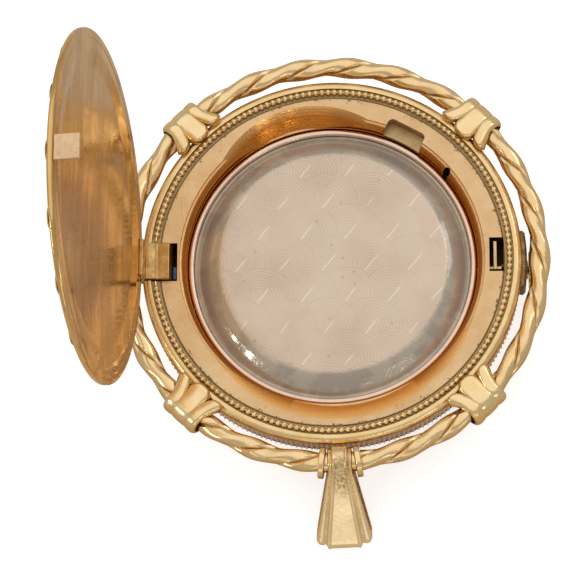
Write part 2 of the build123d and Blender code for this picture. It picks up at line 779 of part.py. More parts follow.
minute_r, cannon_pinion_r = pitch_pair(motion_run, minute_teeth, minute_leaves)
hour_r, minute_pinion_r = pitch_pair(motion_run, hour_teeth, pinion_leaves)
minute_at = beside((0, 0), motion_run, motion_angle)
setting_r = minute_r * setting_teeth / minute_teeth
setting_at = beside(minute_at, minute_r + setting_r, setting_angle)
winding_r = winding_share * movement_r
winding_module = 2 * winding_r / winding_teeth
crown_wheel_r = winding_module * crown_wheel_teeth * half
ratchet_r = winding_module * ratchet_teeth * half
crown_wheel_at = beside(barrel_at, crown_wheel_r + ratchet_r, crown_wheel_angle)
stem_in_x = stem_in_share * movement_r
winding_in_x, winding_out_x = [share * movement_r for share in winding_span_share]
sliding_in_x, sliding_out_x = [share * movement_r for share in sliding_span_share]
lever_at = [share * movement_r for share in lever_at_share]
yoke_at = [share * movement_r for share in yoke_at_share]


def pillar_beside(place, wheel_r, angle):
    """Place of a bridge's pillar, clear of the wheel that it stands beside."""
    return beside(place, wheel_r + pillar_r + pillar_clear, angle)


barrel_pillars_at = [pillar_beside(barrel_at, barrel_r, angle) for angle in barrel_pillar_angles]
train_pillars_at = [pillar_beside(third_at, third_r, third_pillar_angle),
                    pillar_beside(fourth_at, fourth_r, fourth_pillar_angle)]
cock_pillars_at = [pillar_beside(balance_at, balance_r, cock_pillar_angle)]
pallet_pillars_at = [beside(pallet_at, pallet_pillar_share * movement_r, pallet_pillar_angle)]


def train_wheel(outline_r, teeth, rise, pinion_r, leaves, pinion_rise):
    """Wheel and pinion on one arbor, with a round pivot in the bridge above."""
    wheel_z, pinion_z = plate_top_z + rise, [plate_top_z + end for end in pinion_rise]
    low, high = min(wheel_z, pinion_z[0]), max(wheel_z + wheel_thick, pinion_z[1])
    wheel = gear(outline_r, teeth, wheel_z, wheel_z + wheel_thick)
    piece = wheel + gear(pinion_r, leaves, *pinion_z) + post(arbor_r, arbor_sides, low, high)
    return piece + disc(arbor_r, high, bridge_low_z - train_play)


def make_escape_wheel():
    """Escape wheel with pointed teeth, and its pinion, on one arbor."""
    wheel_z, pinion_z = plate_top_z + escape_rise, [plate_top_z + end for end in escape_pinion_rise]
    top = wheel_z + wheel_thick
    wheel = star(escape_r, escape_r * escape_root_share, escape_teeth, wheel_z, top)
    wheel += gear(escape_pinion_r, escape_leaves, *pinion_z) + post(arbor_r, arbor_sides, pinion_z[0], top)
    return wheel + disc(arbor_r, top, bridge_low_z - train_play)


def make_going_train():
    """Centre, third, fourth and escape wheels, each on its arbor."""
    centre = train_wheel(centre_r, centre_teeth, centre_rise, centre_pinion_r, centre_leaves,
                         centre_pinion_rise)
    third = train_wheel(third_r, third_teeth, third_rise, third_pinion_r, third_leaves, third_pinion_rise)
    fourth = train_wheel(fourth_r, fourth_teeth, fourth_rise, fourth_pinion_r, fourth_leaves,
                         fourth_pinion_rise)
    return {
        "centre_wheel": centre, "third_wheel": at(third_at, third), "fourth_wheel": at(fourth_at, fourth),
        "escape_wheel": at(escape_at, make_escape_wheel()),
    }


def make_barrel():
    """Toothed barrel, open below, with a hole for its arbor."""
    low = plate_top_z + barrel_rise
    drum = gear(barrel_r, barrel_teeth, low, low + barrel_tall)
    drum -= disc(barrel_r * barrel_bore_share, low - cut_over, low + barrel_tall - barrel_wall)
    return at(barrel_at, drum - disc(hub_r + train_play, 0, bridge_low_z))


def spiral(start_r, end_r, turns, strip, low, high):
    """Flat coil spring cut as one strip."""
    steps = spring_steps * turns
    inner, outer = [], []
    for index in range(steps + 1):
        radius = start_r + (end_r - start_r) * index / steps
        angle = 360 * turns * index / steps
        inner.append(at_angle(radius - strip * half, angle)[:2])
        outer.append(at_angle(radius + strip * half, angle)[:2])
    return sheet(inner + outer[::-1], low, high)


def make_mainspring():
    """Mainspring wound in the barrel between the arbor and the wall."""
    low = plate_top_z + barrel_rise
    start_r, end_r = hub_r + 2 * mainspring_strip, barrel_r * barrel_bore_share - 2 * mainspring_strip
    return at(barrel_at, spiral(start_r, end_r, mainspring_turns, mainspring_strip, low,
                                low + barrel_tall - barrel_wall - train_play))


def make_mainplate():
    """Mainplate with the keyless pocket, the stem's channel and the posts of wheels and levers."""
    plate = disc(movement_r, plate_low_z, plate_top_z)
    pocket_half = winding_r + hub_r
    plate -= block((stem_in_x - hub_r, winding_out_x + arbor_r), (-pocket_half, pocket_half),
                   (plate_low_z - cut_over, plate_top_z + cut_over))
    channel_half = stem_r + train_play
    plate -= block((winding_out_x, movement_r + cut_over), (-channel_half, channel_half),
                   (stem_z - channel_half, plate_top_z + cut_over))
    for place in (minute_at, setting_at, lever_at, yoke_at):
        plate += disc(stud_r, motion_low_z, plate_low_z, place)
    return plate + disc(hub_r, plate_top_z, bridge_low_z + crown_wheel_play - train_play, crown_wheel_at)


def bridge(pivots, pillars):
    """Bridge over its wheels' pivots, on round pillars."""
    lugs = [Pos(x, y, bridge_low_z) * Edge.make_circle(pillar_r) for x, y in pivots + pillars]
    piece = extrude(make_hull(lugs), bridge_top_z - bridge_low_z, dir=(0, 0, 1))
    for place in pillars:
        piece += post(pillar_r, pillar_sides, plate_top_z, bridge_low_z, place)
    return piece


def make_bridges():
    """Barrel bridge, train bridge, pallet bridge and balance cock."""
    barrel_plate = bridge([barrel_at, crown_wheel_at], barrel_pillars_at)
    barrel_plate -= disc(crown_wheel_r + hub_r, bridge_low_z - train_play, bridge_top_z + cut_over,
                         crown_wheel_at)
    barrel_plate -= disc(hub_r + train_play, bridge_low_z - cut_over, bridge_top_z + cut_over, barrel_at)
    return {
        "barrel_bridge": barrel_plate,
        "train_bridge": bridge([(0, 0), third_at, fourth_at, escape_at], train_pillars_at),
        "pallet_bridge": bridge([pallet_at], pallet_pillars_at),
        "balance_cock": bridge([balance_at], cock_pillars_at),
    }


def make_pallet_fork():
    """Pallet fork between the escape wheel and the balance."""
    outline = [(along * pallet_run, across * pallet_run) for along, across in fork_shares]
    low = bridge_low_z - fork_drop
    fork = sheet(outline, low, low + fork_thick)
    fork += disc(arbor_r, plate_top_z + train_play, low)
    return at(pallet_at, Rot(Z=pallet_angle + 180) * fork)


def make_balance():
    """Balance rim, two arms and staff."""
    low = plate_top_z + balance_rise
    high = low + balance_thick
    inner_r = balance_r - balance_rim
    rim = disc(balance_r, low, high) - disc(inner_r, low - cut_over, high + cut_over)
    arm = block((-inner_r, inner_r), (-balance_rim * half, balance_rim * half), (low, high))
    staff = disc(arbor_r, high, bridge_low_z - train_play)
    return at(balance_at, Rot(Z=balance_arm_angle) * (rim + arm + staff))


def make_hairspring():
    """Flat balance spring round the staff."""
    start_r = arbor_r + 2 * hairspring_strip
    low = plate_top_z + balance_rise + balance_thick + hairspring_rise
    return at(balance_at, spiral(start_r, balance_r * hairspring_share, hairspring_turns, hairspring_strip,
                                 low, low + wheel_thick))


def along_stem(piece):
    """Turn a piece drawn about Z so that it lies about the stem."""
    return Pos(0, 0, stem_z) * Rot(Y=90) * piece


def stem_pinion(radius, start, end):
    """Toothed pinion on the stem."""
    bore = disc(stem_r + stem_play, start - cut_over, end + cut_over)
    return along_stem(gear(radius, winding_teeth, start, end) - bore)


def make_winding_work():
    """Winding and sliding pinions, crown wheel, ratchet wheel and the barrel's arbor."""
    ratchet = gear(ratchet_r, ratchet_teeth, ratchet_low_z, winding_top_z)
    crown_wheel = gear(crown_wheel_r, crown_wheel_teeth, bridge_low_z + crown_wheel_play, winding_top_z)
    return {
        "winding_pinion": stem_pinion(winding_r, winding_in_x, winding_out_x),
        "sliding_pinion": stem_pinion(sliding_share * movement_r, sliding_in_x, sliding_out_x),
        "crown_wheel": at(crown_wheel_at, crown_wheel),
        "ratchet_wheel": at(barrel_at, ratchet),
        "barrel_arbor": disc(hub_r, plate_top_z + barrel_rise, ratchet_low_z, barrel_at),
    }


def make_click():
    """Click on the barrel bridge, with its tooth at the ratchet wheel."""
    turn = barrel_pillar_angles[0]
    pivot = beside(barrel_at, ratchet_r + click_long + pillar_r * half, turn)
    body = disc(click_r, ratchet_low_z, winding_top_z)
    nose = sheet([(0, -click_r * half), (click_long, 0), (0, click_r * half)], ratchet_low_z, winding_top_z)
    return at(pivot, Rot(Z=turn + 180) * (body + nose))


def make_motion_work():
    """Cannon pinion, minute wheel, hour wheel and setting wheel under the dial."""
    high = motion_high_z + motion_thick
    cannon = disc(cannon_r, minute_hand_z, motion_high_z) + gear(cannon_pinion_r, minute_leaves,
                                                                 motion_high_z, high)
    hour = gear(hour_r, hour_teeth, motion_low_z, motion_low_z + motion_thick)
    hour += disc(hour_pipe_r, hour_hand_z, motion_low_z)
    hour -= disc(hour_pipe_bore_r, hour_hand_z - cut_over, plate_low_z)
    stud_hole = disc(stud_r + motion_play, motion_low_z - cut_over, plate_low_z)
    minute = gear(minute_r, minute_teeth, motion_high_z, high)
    minute += gear(minute_pinion_r, pinion_leaves, motion_low_z, motion_high_z)
    setting = gear(setting_r, setting_teeth, motion_high_z, high)
    return {
        "cannon_pinion": cannon,
        "hour_wheel": hour,
        "minute_wheel": at(minute_at, minute - stud_hole),
        "setting_wheel": at(setting_at, setting - stud_hole),
    }


def make_lever(place, long, angle):
    """Flat lever against the underside of the mainplate, on its post."""
    low = plate_low_z - lever_drop
    outline = [(along * long, across * long) for along, across in lever_shares]
    lever = Rot(Z=angle) * sheet(outline, low, plate_low_z)
    return at(place, lever - disc(stud_r + motion_play, low - cut_over, plate_low_z + cut_over))


def make_case():
    """Pieces of the case, its hinge and catch."""
    return {
        "case_body": make_case_body(), "crystal": make_crystal(), "reeded_band": make_reeded_band(),
        "back_bezel": make_back_bezel(), "beaded_wire": make_beaded_wire(), "seat_ring": make_seat_ring(),
        "hinge_pin": hinge_bore(hinge_pin_r), "catch_spring": make_catch_spring(),
        "push_piece": make_push_piece(), "lift_spring": make_lift_spring(), "crown": make_crown(),
        "winding_stem": make_stem(), "pendant_tube": make_pendant_tube(),
        "capsule_cup": make_capsule_cup(), "capsule_back": make_capsule_back(),
    }


def make_back_cover():
    """Pieces that swing with the back cover."""
    return {
        "back_cover": make_cover(), "cover_knuckle": make_cover_knuckle(),
        "cover_catch_tab": make_cover_tab(), "cover_ornaments": make_cover_ornaments(),
    }


def make_frame():
    """Twisted wire frame with its clasps, collars, pin and bail."""
    pieces = {f"clasp_{index + 1}": make_clasp(angle) for index, angle in enumerate(clasp_angles)}
    pieces["rope_frame"] = make_rope_frame()
    pieces["collar_left"], pieces["collar_right"] = at_bail(collar(-1)), at_bail(collar(1))
    pieces["bail_pin"], pieces["bail"] = make_bail_pin(), make_bail()
    return pieces


def make_movement():
    """Dial, hands and movement."""
    pieces = {
        "dial": make_dial(), "dial_markers": make_dial_markers(),
        "hour_hand": make_hand(hour_hand_share * movement_r, hour_hand_z, hour_pipe_r, hour_pipe_bore_r,
                               hour_angle),
        "minute_hand": make_hand(minute_hand_share * movement_r, minute_hand_z, cannon_r, 0, minute_angle),
        "mainplate": make_mainplate(), "mainspring_barrel": make_barrel(), "mainspring": make_mainspring(),
        "pallet_fork": make_pallet_fork(), "balance_wheel": make_balance(), "hairspring": make_hairspring(),
        "click": make_click(),
        "setting_lever": make_lever(lever_at, lever_long_share * movement_r, lever_reach_angle),
        "setting_yoke": make_lever(yoke_at, yoke_long_share * movement_r, yoke_reach_angle),
    }
    for group in (make_going_train(), make_bridges(), make_winding_work(), make_motion_work()):
        pieces.update(group)
    return pieces


os.makedirs("parts", exist_ok=True)
nodes = make_case() | make_back_cover() | make_frame() | make_movement()
for node, piece in nodes.items():
    piece.label = node
    export_step(piece, f"parts/{node}.step")
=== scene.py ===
import json
from math import asin, atan2, cos, degrees, pi, radians, sin, sqrt

import bmesh
import bpy
from mathutils import Matrix, Vector


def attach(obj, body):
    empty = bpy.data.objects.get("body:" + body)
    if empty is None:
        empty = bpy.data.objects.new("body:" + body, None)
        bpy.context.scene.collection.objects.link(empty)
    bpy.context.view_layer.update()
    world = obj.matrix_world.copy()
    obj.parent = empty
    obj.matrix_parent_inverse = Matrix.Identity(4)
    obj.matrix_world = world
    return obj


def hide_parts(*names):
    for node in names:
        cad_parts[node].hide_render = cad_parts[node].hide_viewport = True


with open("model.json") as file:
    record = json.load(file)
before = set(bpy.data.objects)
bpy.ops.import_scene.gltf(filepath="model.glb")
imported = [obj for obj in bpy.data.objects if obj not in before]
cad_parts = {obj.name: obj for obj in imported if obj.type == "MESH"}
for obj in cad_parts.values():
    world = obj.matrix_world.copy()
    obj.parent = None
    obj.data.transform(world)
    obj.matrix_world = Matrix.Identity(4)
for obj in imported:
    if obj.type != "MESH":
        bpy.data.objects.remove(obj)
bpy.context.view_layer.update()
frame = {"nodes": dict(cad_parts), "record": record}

# Case body
# The case body is a turned bowl of yellow gold, bored for the crystal and the capsule.
# It is spun and turned on a lathe, polished, and worn to fine hairlines in the pocket.
mm = 0.001
weld_gap = 0.000002
flat_angle, sharp_angle = radians(0.6), radians(32)
gold_colour, gold_shade = (0.86, 0.61, 0.28), (0.78, 0.50, 0.19)
# Dark brown and olive brown for grime mixed with painted shade in corners, grooves and gaps.
grime_and_shade_colour, olive_dirt_and_shade = (0.05, 0.025, 0.012), (0.26, 0.16, 0.055)


def add(tree, kind, *inputs, **settings):
    """Outputs of a new shader node of a kind, with its inputs given in order."""
    shader = tree.nodes.new("ShaderNode" + kind)
    for setting, value in settings.items():
        setattr(shader, setting, value)
    for index, value in enumerate(inputs):
        if isinstance(value, bpy.types.NodeSocket):
            tree.links.new(value, shader.inputs[index])
        elif value is not None:
            shader.inputs[index].default_value = value
    return shader.outputs


def reckon(operation, *values):
    """Output of a new maths node."""
    tree = next(value.id_data for value in values if isinstance(value, bpy.types.NodeSocket))
    return add(tree, "Math", *values, operation=operation)[0]


def times(first, *others):
    """Product of two or more values."""
    for other in others:
        first = reckon("MULTIPLY", first, other)
    return first


def ramp(value, start, end, low, high):
    """Value that runs from low to high while another runs from start to end."""
    return add(value.id_data, "MapRange", value, start, end, low, high)[0]


def mixed(mask, plain, masked):
    """Colour that goes from plain to masked with a mask."""
    ends = [end if isinstance(end, bpy.types.NodeSocket) else (*end, 1) for end in (plain, masked)]
    return add(mask.id_data, "Mix", mask, *[None] * 5, *ends, data_type="RGBA")[2]


def xyz(place):
    """The three parts of a place or a direction."""
    return add(place.id_data, "SeparateXYZ", place)


def feed(node, socket, value):
    """Joins a value to one of a node's sockets."""
    node.id_data.links.new(value, node.inputs[socket])


def effect(name, takes, gives):
    """Empty shader group, its inputs and the node of its outputs."""
    tree = bpy.data.node_groups.new(name, "ShaderNodeTree")
    for socket, value in takes.items():
        made = tree.interface.new_socket(socket, in_out="INPUT", socket_type="NodeSocketFloat")
        made.default_value = value
    for socket in gives:
        tree.interface.new_socket(socket, in_out="OUTPUT", socket_type="NodeSocketFloat")
    return tree, tree.nodes.new("NodeGroupInput").outputs, tree.nodes.new("NodeGroupOutput")


def surface_mm(tree):
    """Place on the piece in millimetres."""
    place = add(tree, "TexCoord")["Object"]
    return add(tree, "VectorMath", place, None, None, 1 / mm, operation="SCALE")[0]


def noise(tree, scale, detail, roughness=0.5):
    """Noise over the piece, with its scale as parts to a millimetre."""
    return add(tree, "TexNoise", surface_mm(tree), None, scale, detail, roughness)[0]


def make_wear():
    """Hairlines, patches of tarnish and small specks, for any metal."""
    tree, takes, gives = effect("metal_wear", {"Line Size": 1.0, "Patch Size": 3.0, "Speck Size": 1.0},
                                ("Lines", "Patches", "Specks"))
    place = surface_mm(tree)
    total = 0.0
    for turn, stretch in ((0.5, 26), (1.9, 31), (-0.9, 22), (1.2, 37)):
        turned_place = add(tree, "VectorRotate", place, None, None, turn, rotation_type="Z_AXIS")[0]
        long_place = add(tree, "VectorMath", turned_place, (stretch, 0.5, 3), operation="MULTIPLY")[0]
        stroke = add(tree, "TexNoise", long_place, None, reckon("DIVIDE", 0.5, takes["Line Size"]), 2)[0]
        total = reckon("MAXIMUM", total, ramp(stroke, 0.6, 0.72, 0, 1))
    feed(gives, "Lines", total)
    patch = add(tree, "TexNoise", place, None, reckon("DIVIDE", 1, takes["Patch Size"]), 4, 0.6)[0]
    feed(gives, "Patches", ramp(patch, 0.36, 0.66, 0, 1))
    cell = add(tree, "TexVoronoi", place, None, reckon("DIVIDE", 1, takes["Speck Size"]))
    near = ramp(cell["Distance"], 0.05, 0.16, 1, 0)
    rare = reckon("GREATER_THAN", add(tree, "SeparateColor", cell["Color"])[0], 0.72)
    feed(gives, "Specks", times(near, rare))
    return tree


def make_grime_and_shade():
    """Dirt that has settled in corners and grooves, with painted shade: darker where the piece is closed in.
    """
    tree, takes, gives = effect("settled_grime_and_shade", {"Reach": 0.4, "Strength": 1.0}, ("Mask",))
    reach = times(takes["Reach"], mm)
    corner = add(tree, "AmbientOcclusion", None, reach, samples=8, only_local=True)["AO"]
    closed = ramp(corner, 0.75, 0.2, 0, 1)
    uneven = ramp(noise(tree, 1.7, 3), 0.3, 0.6, 0.35, 1)
    feed(gives, "Mask", times(closed, uneven, takes["Strength"]))
    return tree


wear_group, grime_and_shade_group = make_wear(), make_grime_and_shade()


def fix(node, **values):
    """Sets constants on a node's own sockets."""
    for socket, value in values.items():
        node.inputs[socket.replace("_", " ")].default_value = value


def placed_group(tree, group, **values):
    """A shared effect placed in a material, with its own values."""
    made = tree.nodes.new("ShaderNodeGroup")
    made.node_tree = group
    fix(made, **values)
    return made.outputs


def new_material(name):
    """Material with its shader."""
    material = bpy.data.materials.new(name)
    material.use_nodes = True
    return material, material.node_tree.nodes["Principled BSDF"]


def metal(name, colour, shade, low_rough, high_rough, patch=3.0, line=1.0, line_deep=0.5, speck=1.2,
          specks=0.0, grime_and_shade=1.0, grime_and_shade_reach=0.4, relief=None, relief_deep=0.0, stain_and_shade=None,
          dirt_and_shade=grime_and_shade_colour, side=None):
    """Metal with tarnish, hairlines, specks, grime and painted corner shade, and a relief, stains, painted
    shade and painted side shade if given.
    """
    material, shader = new_material(name)
    tree = material.node_tree
    fix(shader, Metallic=1)
    wear = placed_group(tree, wear_group, Line_Size=line, Patch_Size=patch, Speck_Size=speck)
    # Painted shade: ambient occlusion darkens corners, grooves and gaps, together with the grime there.
    settled_and_shaded = placed_group(tree, grime_and_shade_group, Reach=grime_and_shade_reach, Strength=grime_and_shade)["Mask"]
    darkened = reckon("MAXIMUM", settled_and_shaded, times(wear["Specks"], specks))
    if stain_and_shade:
        darkened = reckon("MAXIMUM", darkened, stain_and_shade(tree))
    base = mixed(wear["Patches"], colour, shade)
    # Painted shade: faces that lean away from upright take the darker side colour, as the sides of a piece
    # fall in shade.
    if side:
        facing = xyz(add(tree, "NewGeometry")["Normal"])[2]
        base = mixed(ramp(facing, 0.8, 0.25, 0, 0.85), base, side)
    feed(shader, "Base Color", mixed(darkened, base, dirt_and_shade))
    rough = ramp(wear["Patches"], 0, 1, low_rough, high_rough)
    rough = reckon("MULTIPLY_ADD", wear["Lines"], 0.12, rough)
    feed(shader, "Roughness", reckon("MULTIPLY_ADD", darkened, 0.4, rough))
    cut = add(tree, "Bump", 1.0, relief_deep * mm, None, relief(tree))[0] if relief else None
    feed(shader, "Normal", add(tree, "Bump", 0.35, line_deep * mm * 0.01, None, wear["Lines"], cut)[0])
    return material


dressed = set()


def placed(name, data):
    """Object that stands in the scene."""
    made = bpy.data.objects.new(name, data)
    bpy.context.scene.collection.objects.link(made)
    return made


def show(name, mesh, node, body, material):
    """Piece from a finished mesh, in place of its CAD node."""
    dressed.add(node)
    mesh.materials.clear()
    mesh.materials.append(material)
    mesh.shade_smooth()
    mesh.set_sharp_from_angle(angle=sharp_angle)
    piece = placed(name, mesh)
    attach(piece, body)
    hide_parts(node)
    return piece


def break_edges(piece, edge, segments):
    """Softly broken edges on a piece."""
    bevel = piece.modifiers.new("broken_edges", "BEVEL")
    bevel.width, bevel.segments = edge * mm, segments
    bevel.limit_method, bevel.angle_limit = "ANGLE", sharp_angle
    bevel.harden_normals = True


def machined(node, material, body="case", edge=0.05, segments=2):
    """Piece with its solid's shape and softly broken edges."""
    work = bmesh.new()
    work.from_mesh(frame["nodes"][node].data)
    bmesh.ops.remove_doubles(work, verts=work.verts, dist=weld_gap)
    bmesh.ops.dissolve_limit(work, angle_limit=flat_angle, verts=work.verts, edges=work.edges)
    mesh = bpy.data.meshes.new(node + "_finished")
    work.to_mesh(mesh)
    work.free()
    piece = show(node + "_finished", mesh, node, body, material)
    break_edges(piece, edge, segments)
    return piece


def height_darkening(unmarked, darkened, most):
    """Darkening that grows from one height to another, up to its most; it paints shade in hollows and under
    parts.
    """
    return lambda tree: ramp(xyz(surface_mm(tree))[2], unmarked, darkened, 0, most)


# Painted shade: the case body darkens almost to black along its top edge, under the reeded band's overhang.
body_gold = metal("case_body_gold", gold_colour, gold_shade, 0.1, 0.2, patch=5.0, line_deep=0.6,
                  stain_and_shade=height_darkening(4.4, 4.55, 0.95))
machined("case_body", body_gold, edge=0.12, segments=3)

# Crystal
# The crystal is a flat disc of mineral glass with a polished bevel, pressed into the case body
# from the front. The watch lies on its face.
glass, glass_shader = new_material("mineral_glass")
fix(glass_shader, Transmission_Weight=1, IOR=1.52)
glass_wear = placed_group(glass.node_tree, wear_group, Line_Size=1.5, Patch_Size=6.0, Speck_Size=2.0)
feed(glass_shader, "Roughness", ramp(glass_wear["Lines"], 0, 1, 0.01, 0.06))
feed(glass_shader, "Base Color", mixed(glass_wear["Patches"], (0.98, 0.99, 1), (0.95, 0.98, 0.97)))
machined("crystal", glass, edge=0.2, segments=4)

# Reeded band
# The reeded band goes round the middle of the case. It is rose gold, milled with fine upright
# flutes, with brown dirt and painted shade in them. The push piece and the hinge lie in cuts in it.
reed_count, reed_steps, reed_deep, reed_shape = 220, 6, 0.26, 0.7
band_tip_r, band_bore_r, band_low, band_top = 16.58, 15.2, 4.6, 7.0
band_round = 0.12
pocket_half, hinge_x, hinge_z = 1.75, -15.99, 7.06
recess_half, recess_r = 2.76, 16.09


def span(x, y):
    """Length of a line with two given legs."""
    return reckon("SQRT", reckon("ADD", reckon("POWER", x, 2), reckon("POWER", y, 2)))


def case_reach(tree):
    """Distance from the case axis in millimetres."""
    return span(*xyz(surface_mm(tree))[:2])


def solid_mesh(name, points, faces, scale=1):
    """Mesh of points and faces, with the faces turned outwards."""
    mesh = bpy.data.meshes.new(name)
    mesh.from_pydata([Vector(point) * scale for point in points], [], faces)
    work = bmesh.new()
    work.from_mesh(mesh)
    bmesh.ops.remove_doubles(work, verts=work.verts, dist=weld_gap)
    bmesh.ops.recalc_face_normals(work, faces=work.faces)
    work.to_mesh(mesh)
    work.free()
    return mesh


def finished(node, shape, material, body="case", name=None):
    """Piece from a shape's points in millimetres and its faces."""
    name = name or node + "_fine"
    return show(name, solid_mesh(name, *shape, mm), node, body, material)


def open_angle(radius, half_gap, share):
    """Angle at a share of the way round the case, from one side of the hinge's cut."""
    half_open = degrees(asin(half_gap / radius))
    return 180 + half_open + (360 - 2 * half_open) * share


def ring_faces(stations, section, closed=False):
    """Faces that join a row of like sections, with flat ends where the row is open."""
    faces = []
    for station in range(stations if closed else stations - 1):
        here, there = station * section, (station + 1) % stations * section
        for side in range(section):
            after = (side + 1) % section
            faces.append((here + side, there + side, there + after, here + after))
    if not closed:
        last = (stations - 1) * section
        faces += [tuple(range(section)), tuple(range(last + section - 1, last - 1, -1))]
    return faces


def shifted(faces, first):
    """Faces for points that come after others in one list."""
    return [tuple(corner + first for corner in face) for face in faces]


def polar(radius, angle, z):
    """Point at a radius and an angle in degrees about the case axis."""
    return (radius * cos(radians(angle)), radius * sin(radians(angle)), z)


def reeded_points():
    """Sections of the band, fluted outside and stepped in where the push piece lies."""
    points = []
    steps = reed_count * reed_steps
    tip_r = band_tip_r - band_round
    for step in range(steps + 1):
        flute = reed_deep * (0.5 - 0.5 * cos(2 * pi * step / reed_steps)) ** reed_shape
        for radius, z in ((band_bore_r, band_low), (tip_r, band_low), (band_tip_r, band_low + band_round),
                          (band_tip_r, band_top - band_round), (tip_r, band_top), (band_bore_r, band_top)):
            outer = radius - flute if radius > band_bore_r else radius
            angle = open_angle(outer, pocket_half, step / steps)
            spread = radians(angle)
            if radius > band_bore_r and abs(outer * sin(spread)) < recess_half and cos(spread) > 0:
                outer = min(outer, recess_r)
            points.append(polar(outer, angle, z))
    return points, ring_faces(steps + 1, 6)


def flute_dirt_and_shade(tree):
    """Brown dirt and painted shade in the bottoms of the flutes."""
    share = ramp(noise(tree, 0.8, 3), 0.35, 0.6, 0.15, 0.55)
    return times(ramp(case_reach(tree), band_tip_r - 0.08, band_tip_r - reed_deep, 0, 1), share)


rose_gold = metal("reeded_rose_gold", (0.97, 0.76, 0.60), (0.92, 0.66, 0.50), 0.25, 0.4, patch=2.0,
                  grime_and_shade=0.5, grime_and_shade_reach=0.3, stain_and_shade=flute_dirt_and_shade, dirt_and_shade=(0.3, 0.17, 0.11))
fix(rose_gold.node_tree.nodes["Principled BSDF"], Metallic=0.55)
finished("reeded_band", reeded_points(), rose_gold)

# Back bezel
# The back bezel is a polished ring of yellow gold, turned in one with the groove for the beads
# and cut through for the hinge.
ring_steps = 360


def softened(corners, arc=3):
    """Outline whose corners, (radius, height, rounding), are rounded off."""
    outline = []
    for index, (radius, z, soft) in enumerate(corners):
        corner = Vector((radius, z))
        if not soft:
            outline.append(tuple(corner))
            continue
        before = Vector(corners[index - 1][:2]) - corner
        after = Vector(corners[(index + 1) % len(corners)][:2]) - corner
        start, end = corner + before.normalized() * soft, corner + after.normalized() * soft
        for step in range(arc + 1):
            share = step / arc
            near = start.lerp(corner, share)
            outline.append(tuple(near.lerp(corner.lerp(end, share), share)))
    return outline


def turned(outline):
    """Points and faces of an outline turned right round the case axis."""
    points = [polar(radius, 360 * step / ring_steps, z) for step in range(ring_steps)
              for radius, z in outline]
    return points, ring_faces(ring_steps, len(outline), True)


def turned_open(outline, half_gap):
    """Points and faces of an outline turned round, with a straight cut at the hinge."""
    points = [polar(radius, open_angle(radius, half_gap, step / ring_steps), z)
              for step in range(ring_steps + 1) for radius, z in outline]
    return points, ring_faces(ring_steps + 1, len(outline))


def groove_dirt_and_shade(tree):
    """Dirt and painted shade in the groove that holds the beads."""
    return times(height_darkening(7.6, 7.46, 0.62)(tree), reckon("LESS_THAN", case_reach(tree), 15.93))


# Painted shade: the bezel's sides turn deep amber, and its groove darkens to olive brown round the beads.
bezel_gold = metal("bezel_gold", (0.90, 0.66, 0.34), (0.84, 0.58, 0.27), 0.2, 0.3, patch=2.5,
                   line_deep=1.0, grime_and_shade_reach=0.35, stain_and_shade=groove_dirt_and_shade, dirt_and_shade=olive_dirt_and_shade,
                   side=(0.66, 0.38, 0.12))
bezel_outline = softened([(15.15, 7.0, 0), (16.6, 7.0, 0.06), (16.68, 7.1, 0.06), (16.62, 7.35, 0.1),
                          (16.3, 7.66, 0.14), (15.92, 7.7, 0.05), (15.9, 7.42, 0), (15.15, 7.4, 0)])
finished("back_bezel", turned_open(bezel_outline, pocket_half), bezel_gold)

# Beaded wire
# The beaded wire is gold wire rolled into round beads and soldered in the bezel's groove.
# It stops short on each side of the hinge.
bead_ring_r, bead_count, bead_z = 15.55, 176, 7.72
bead_tall_r, bead_wide_r, wire_r = 0.27, 0.265, 0.09
bead_columns, bead_rows, wire_sides = 12, 8, 8
upright = Vector((0, 0, 1))


def circle(radius, sides, x=0.0, y=0.0):
    """Points of a circle about a place in a plane."""
    turns = [2 * pi * side / sides for side in range(sides)]
    return [(x + radius * cos(turn), y + radius * sin(turn)) for turn in turns]


def bead_points():
    """Beads and the thin core wire between them."""
    points, faces = [], []
    half_open = degrees(asin(pocket_half / bead_ring_r))
    pitch = 360 / bead_count
    for index in range(bead_count):
        angle = (index + 0.5) * pitch
        if abs(angle - 180) <= half_open + pitch / 2:
            continue
        along, out = Vector(polar(1, angle + 90, 0)), Vector(polar(1, angle, 0))
        middle = Vector(polar(bead_ring_r, angle, bead_z))
        first = len(points)
        for row in range(1, bead_rows):
            lift = pi * row / bead_rows
            points += [middle + along * x + out * y + upright * bead_tall_r * cos(lift)
                       for x, y in circle(bead_wide_r * sin(lift), bead_columns)]
        top, foot = len(points), len(points) + 1
        points += [middle + upright * bead_tall_r, middle - upright * bead_tall_r]
        faces += shifted(ring_faces(bead_rows - 1, bead_columns)[:-2], first)
        last = first + (bead_rows - 2) * bead_columns
        for column in range(bead_columns):
            after = (column + 1) % bead_columns
            faces += [(top, first + after, first + column), (foot, last + column, last + after)]
    core = circle(wire_r, wire_sides, bead_ring_r, bead_z)
    core_points, core_faces = turned_open(core, pocket_half + 0.1)
    return points + core_points, faces + shifted(core_faces, len(points))


# Painted shade: the lower halves of the beads darken to olive brown, where they sink into the groove.
bead_gold = metal("beaded_wire_gold", (0.93, 0.70, 0.38), (0.86, 0.61, 0.29), 0.18, 0.28, patch=1.5,
                  grime_and_shade=0.3, grime_and_shade_reach=0.2, stain_and_shade=height_darkening(bead_z - 0.05, bead_z - 0.16, 0.85),
                  dirt_and_shade=olive_dirt_and_shade)
finished("beaded_wire", bead_points(), bead_gold)

# Seat ring
# The seat ring is the flat gold ring that the closed cover rests on, with the polished thumb
# scoop, the knife notch, the catch slot, a vent hole and the hinge pocket cut in it. The flat is
# matt and spotted with brown where it meets the beads.
scoop_x, scoop_y, notch_turn, notch_half = -1.54, 5.37, 61, 1.8


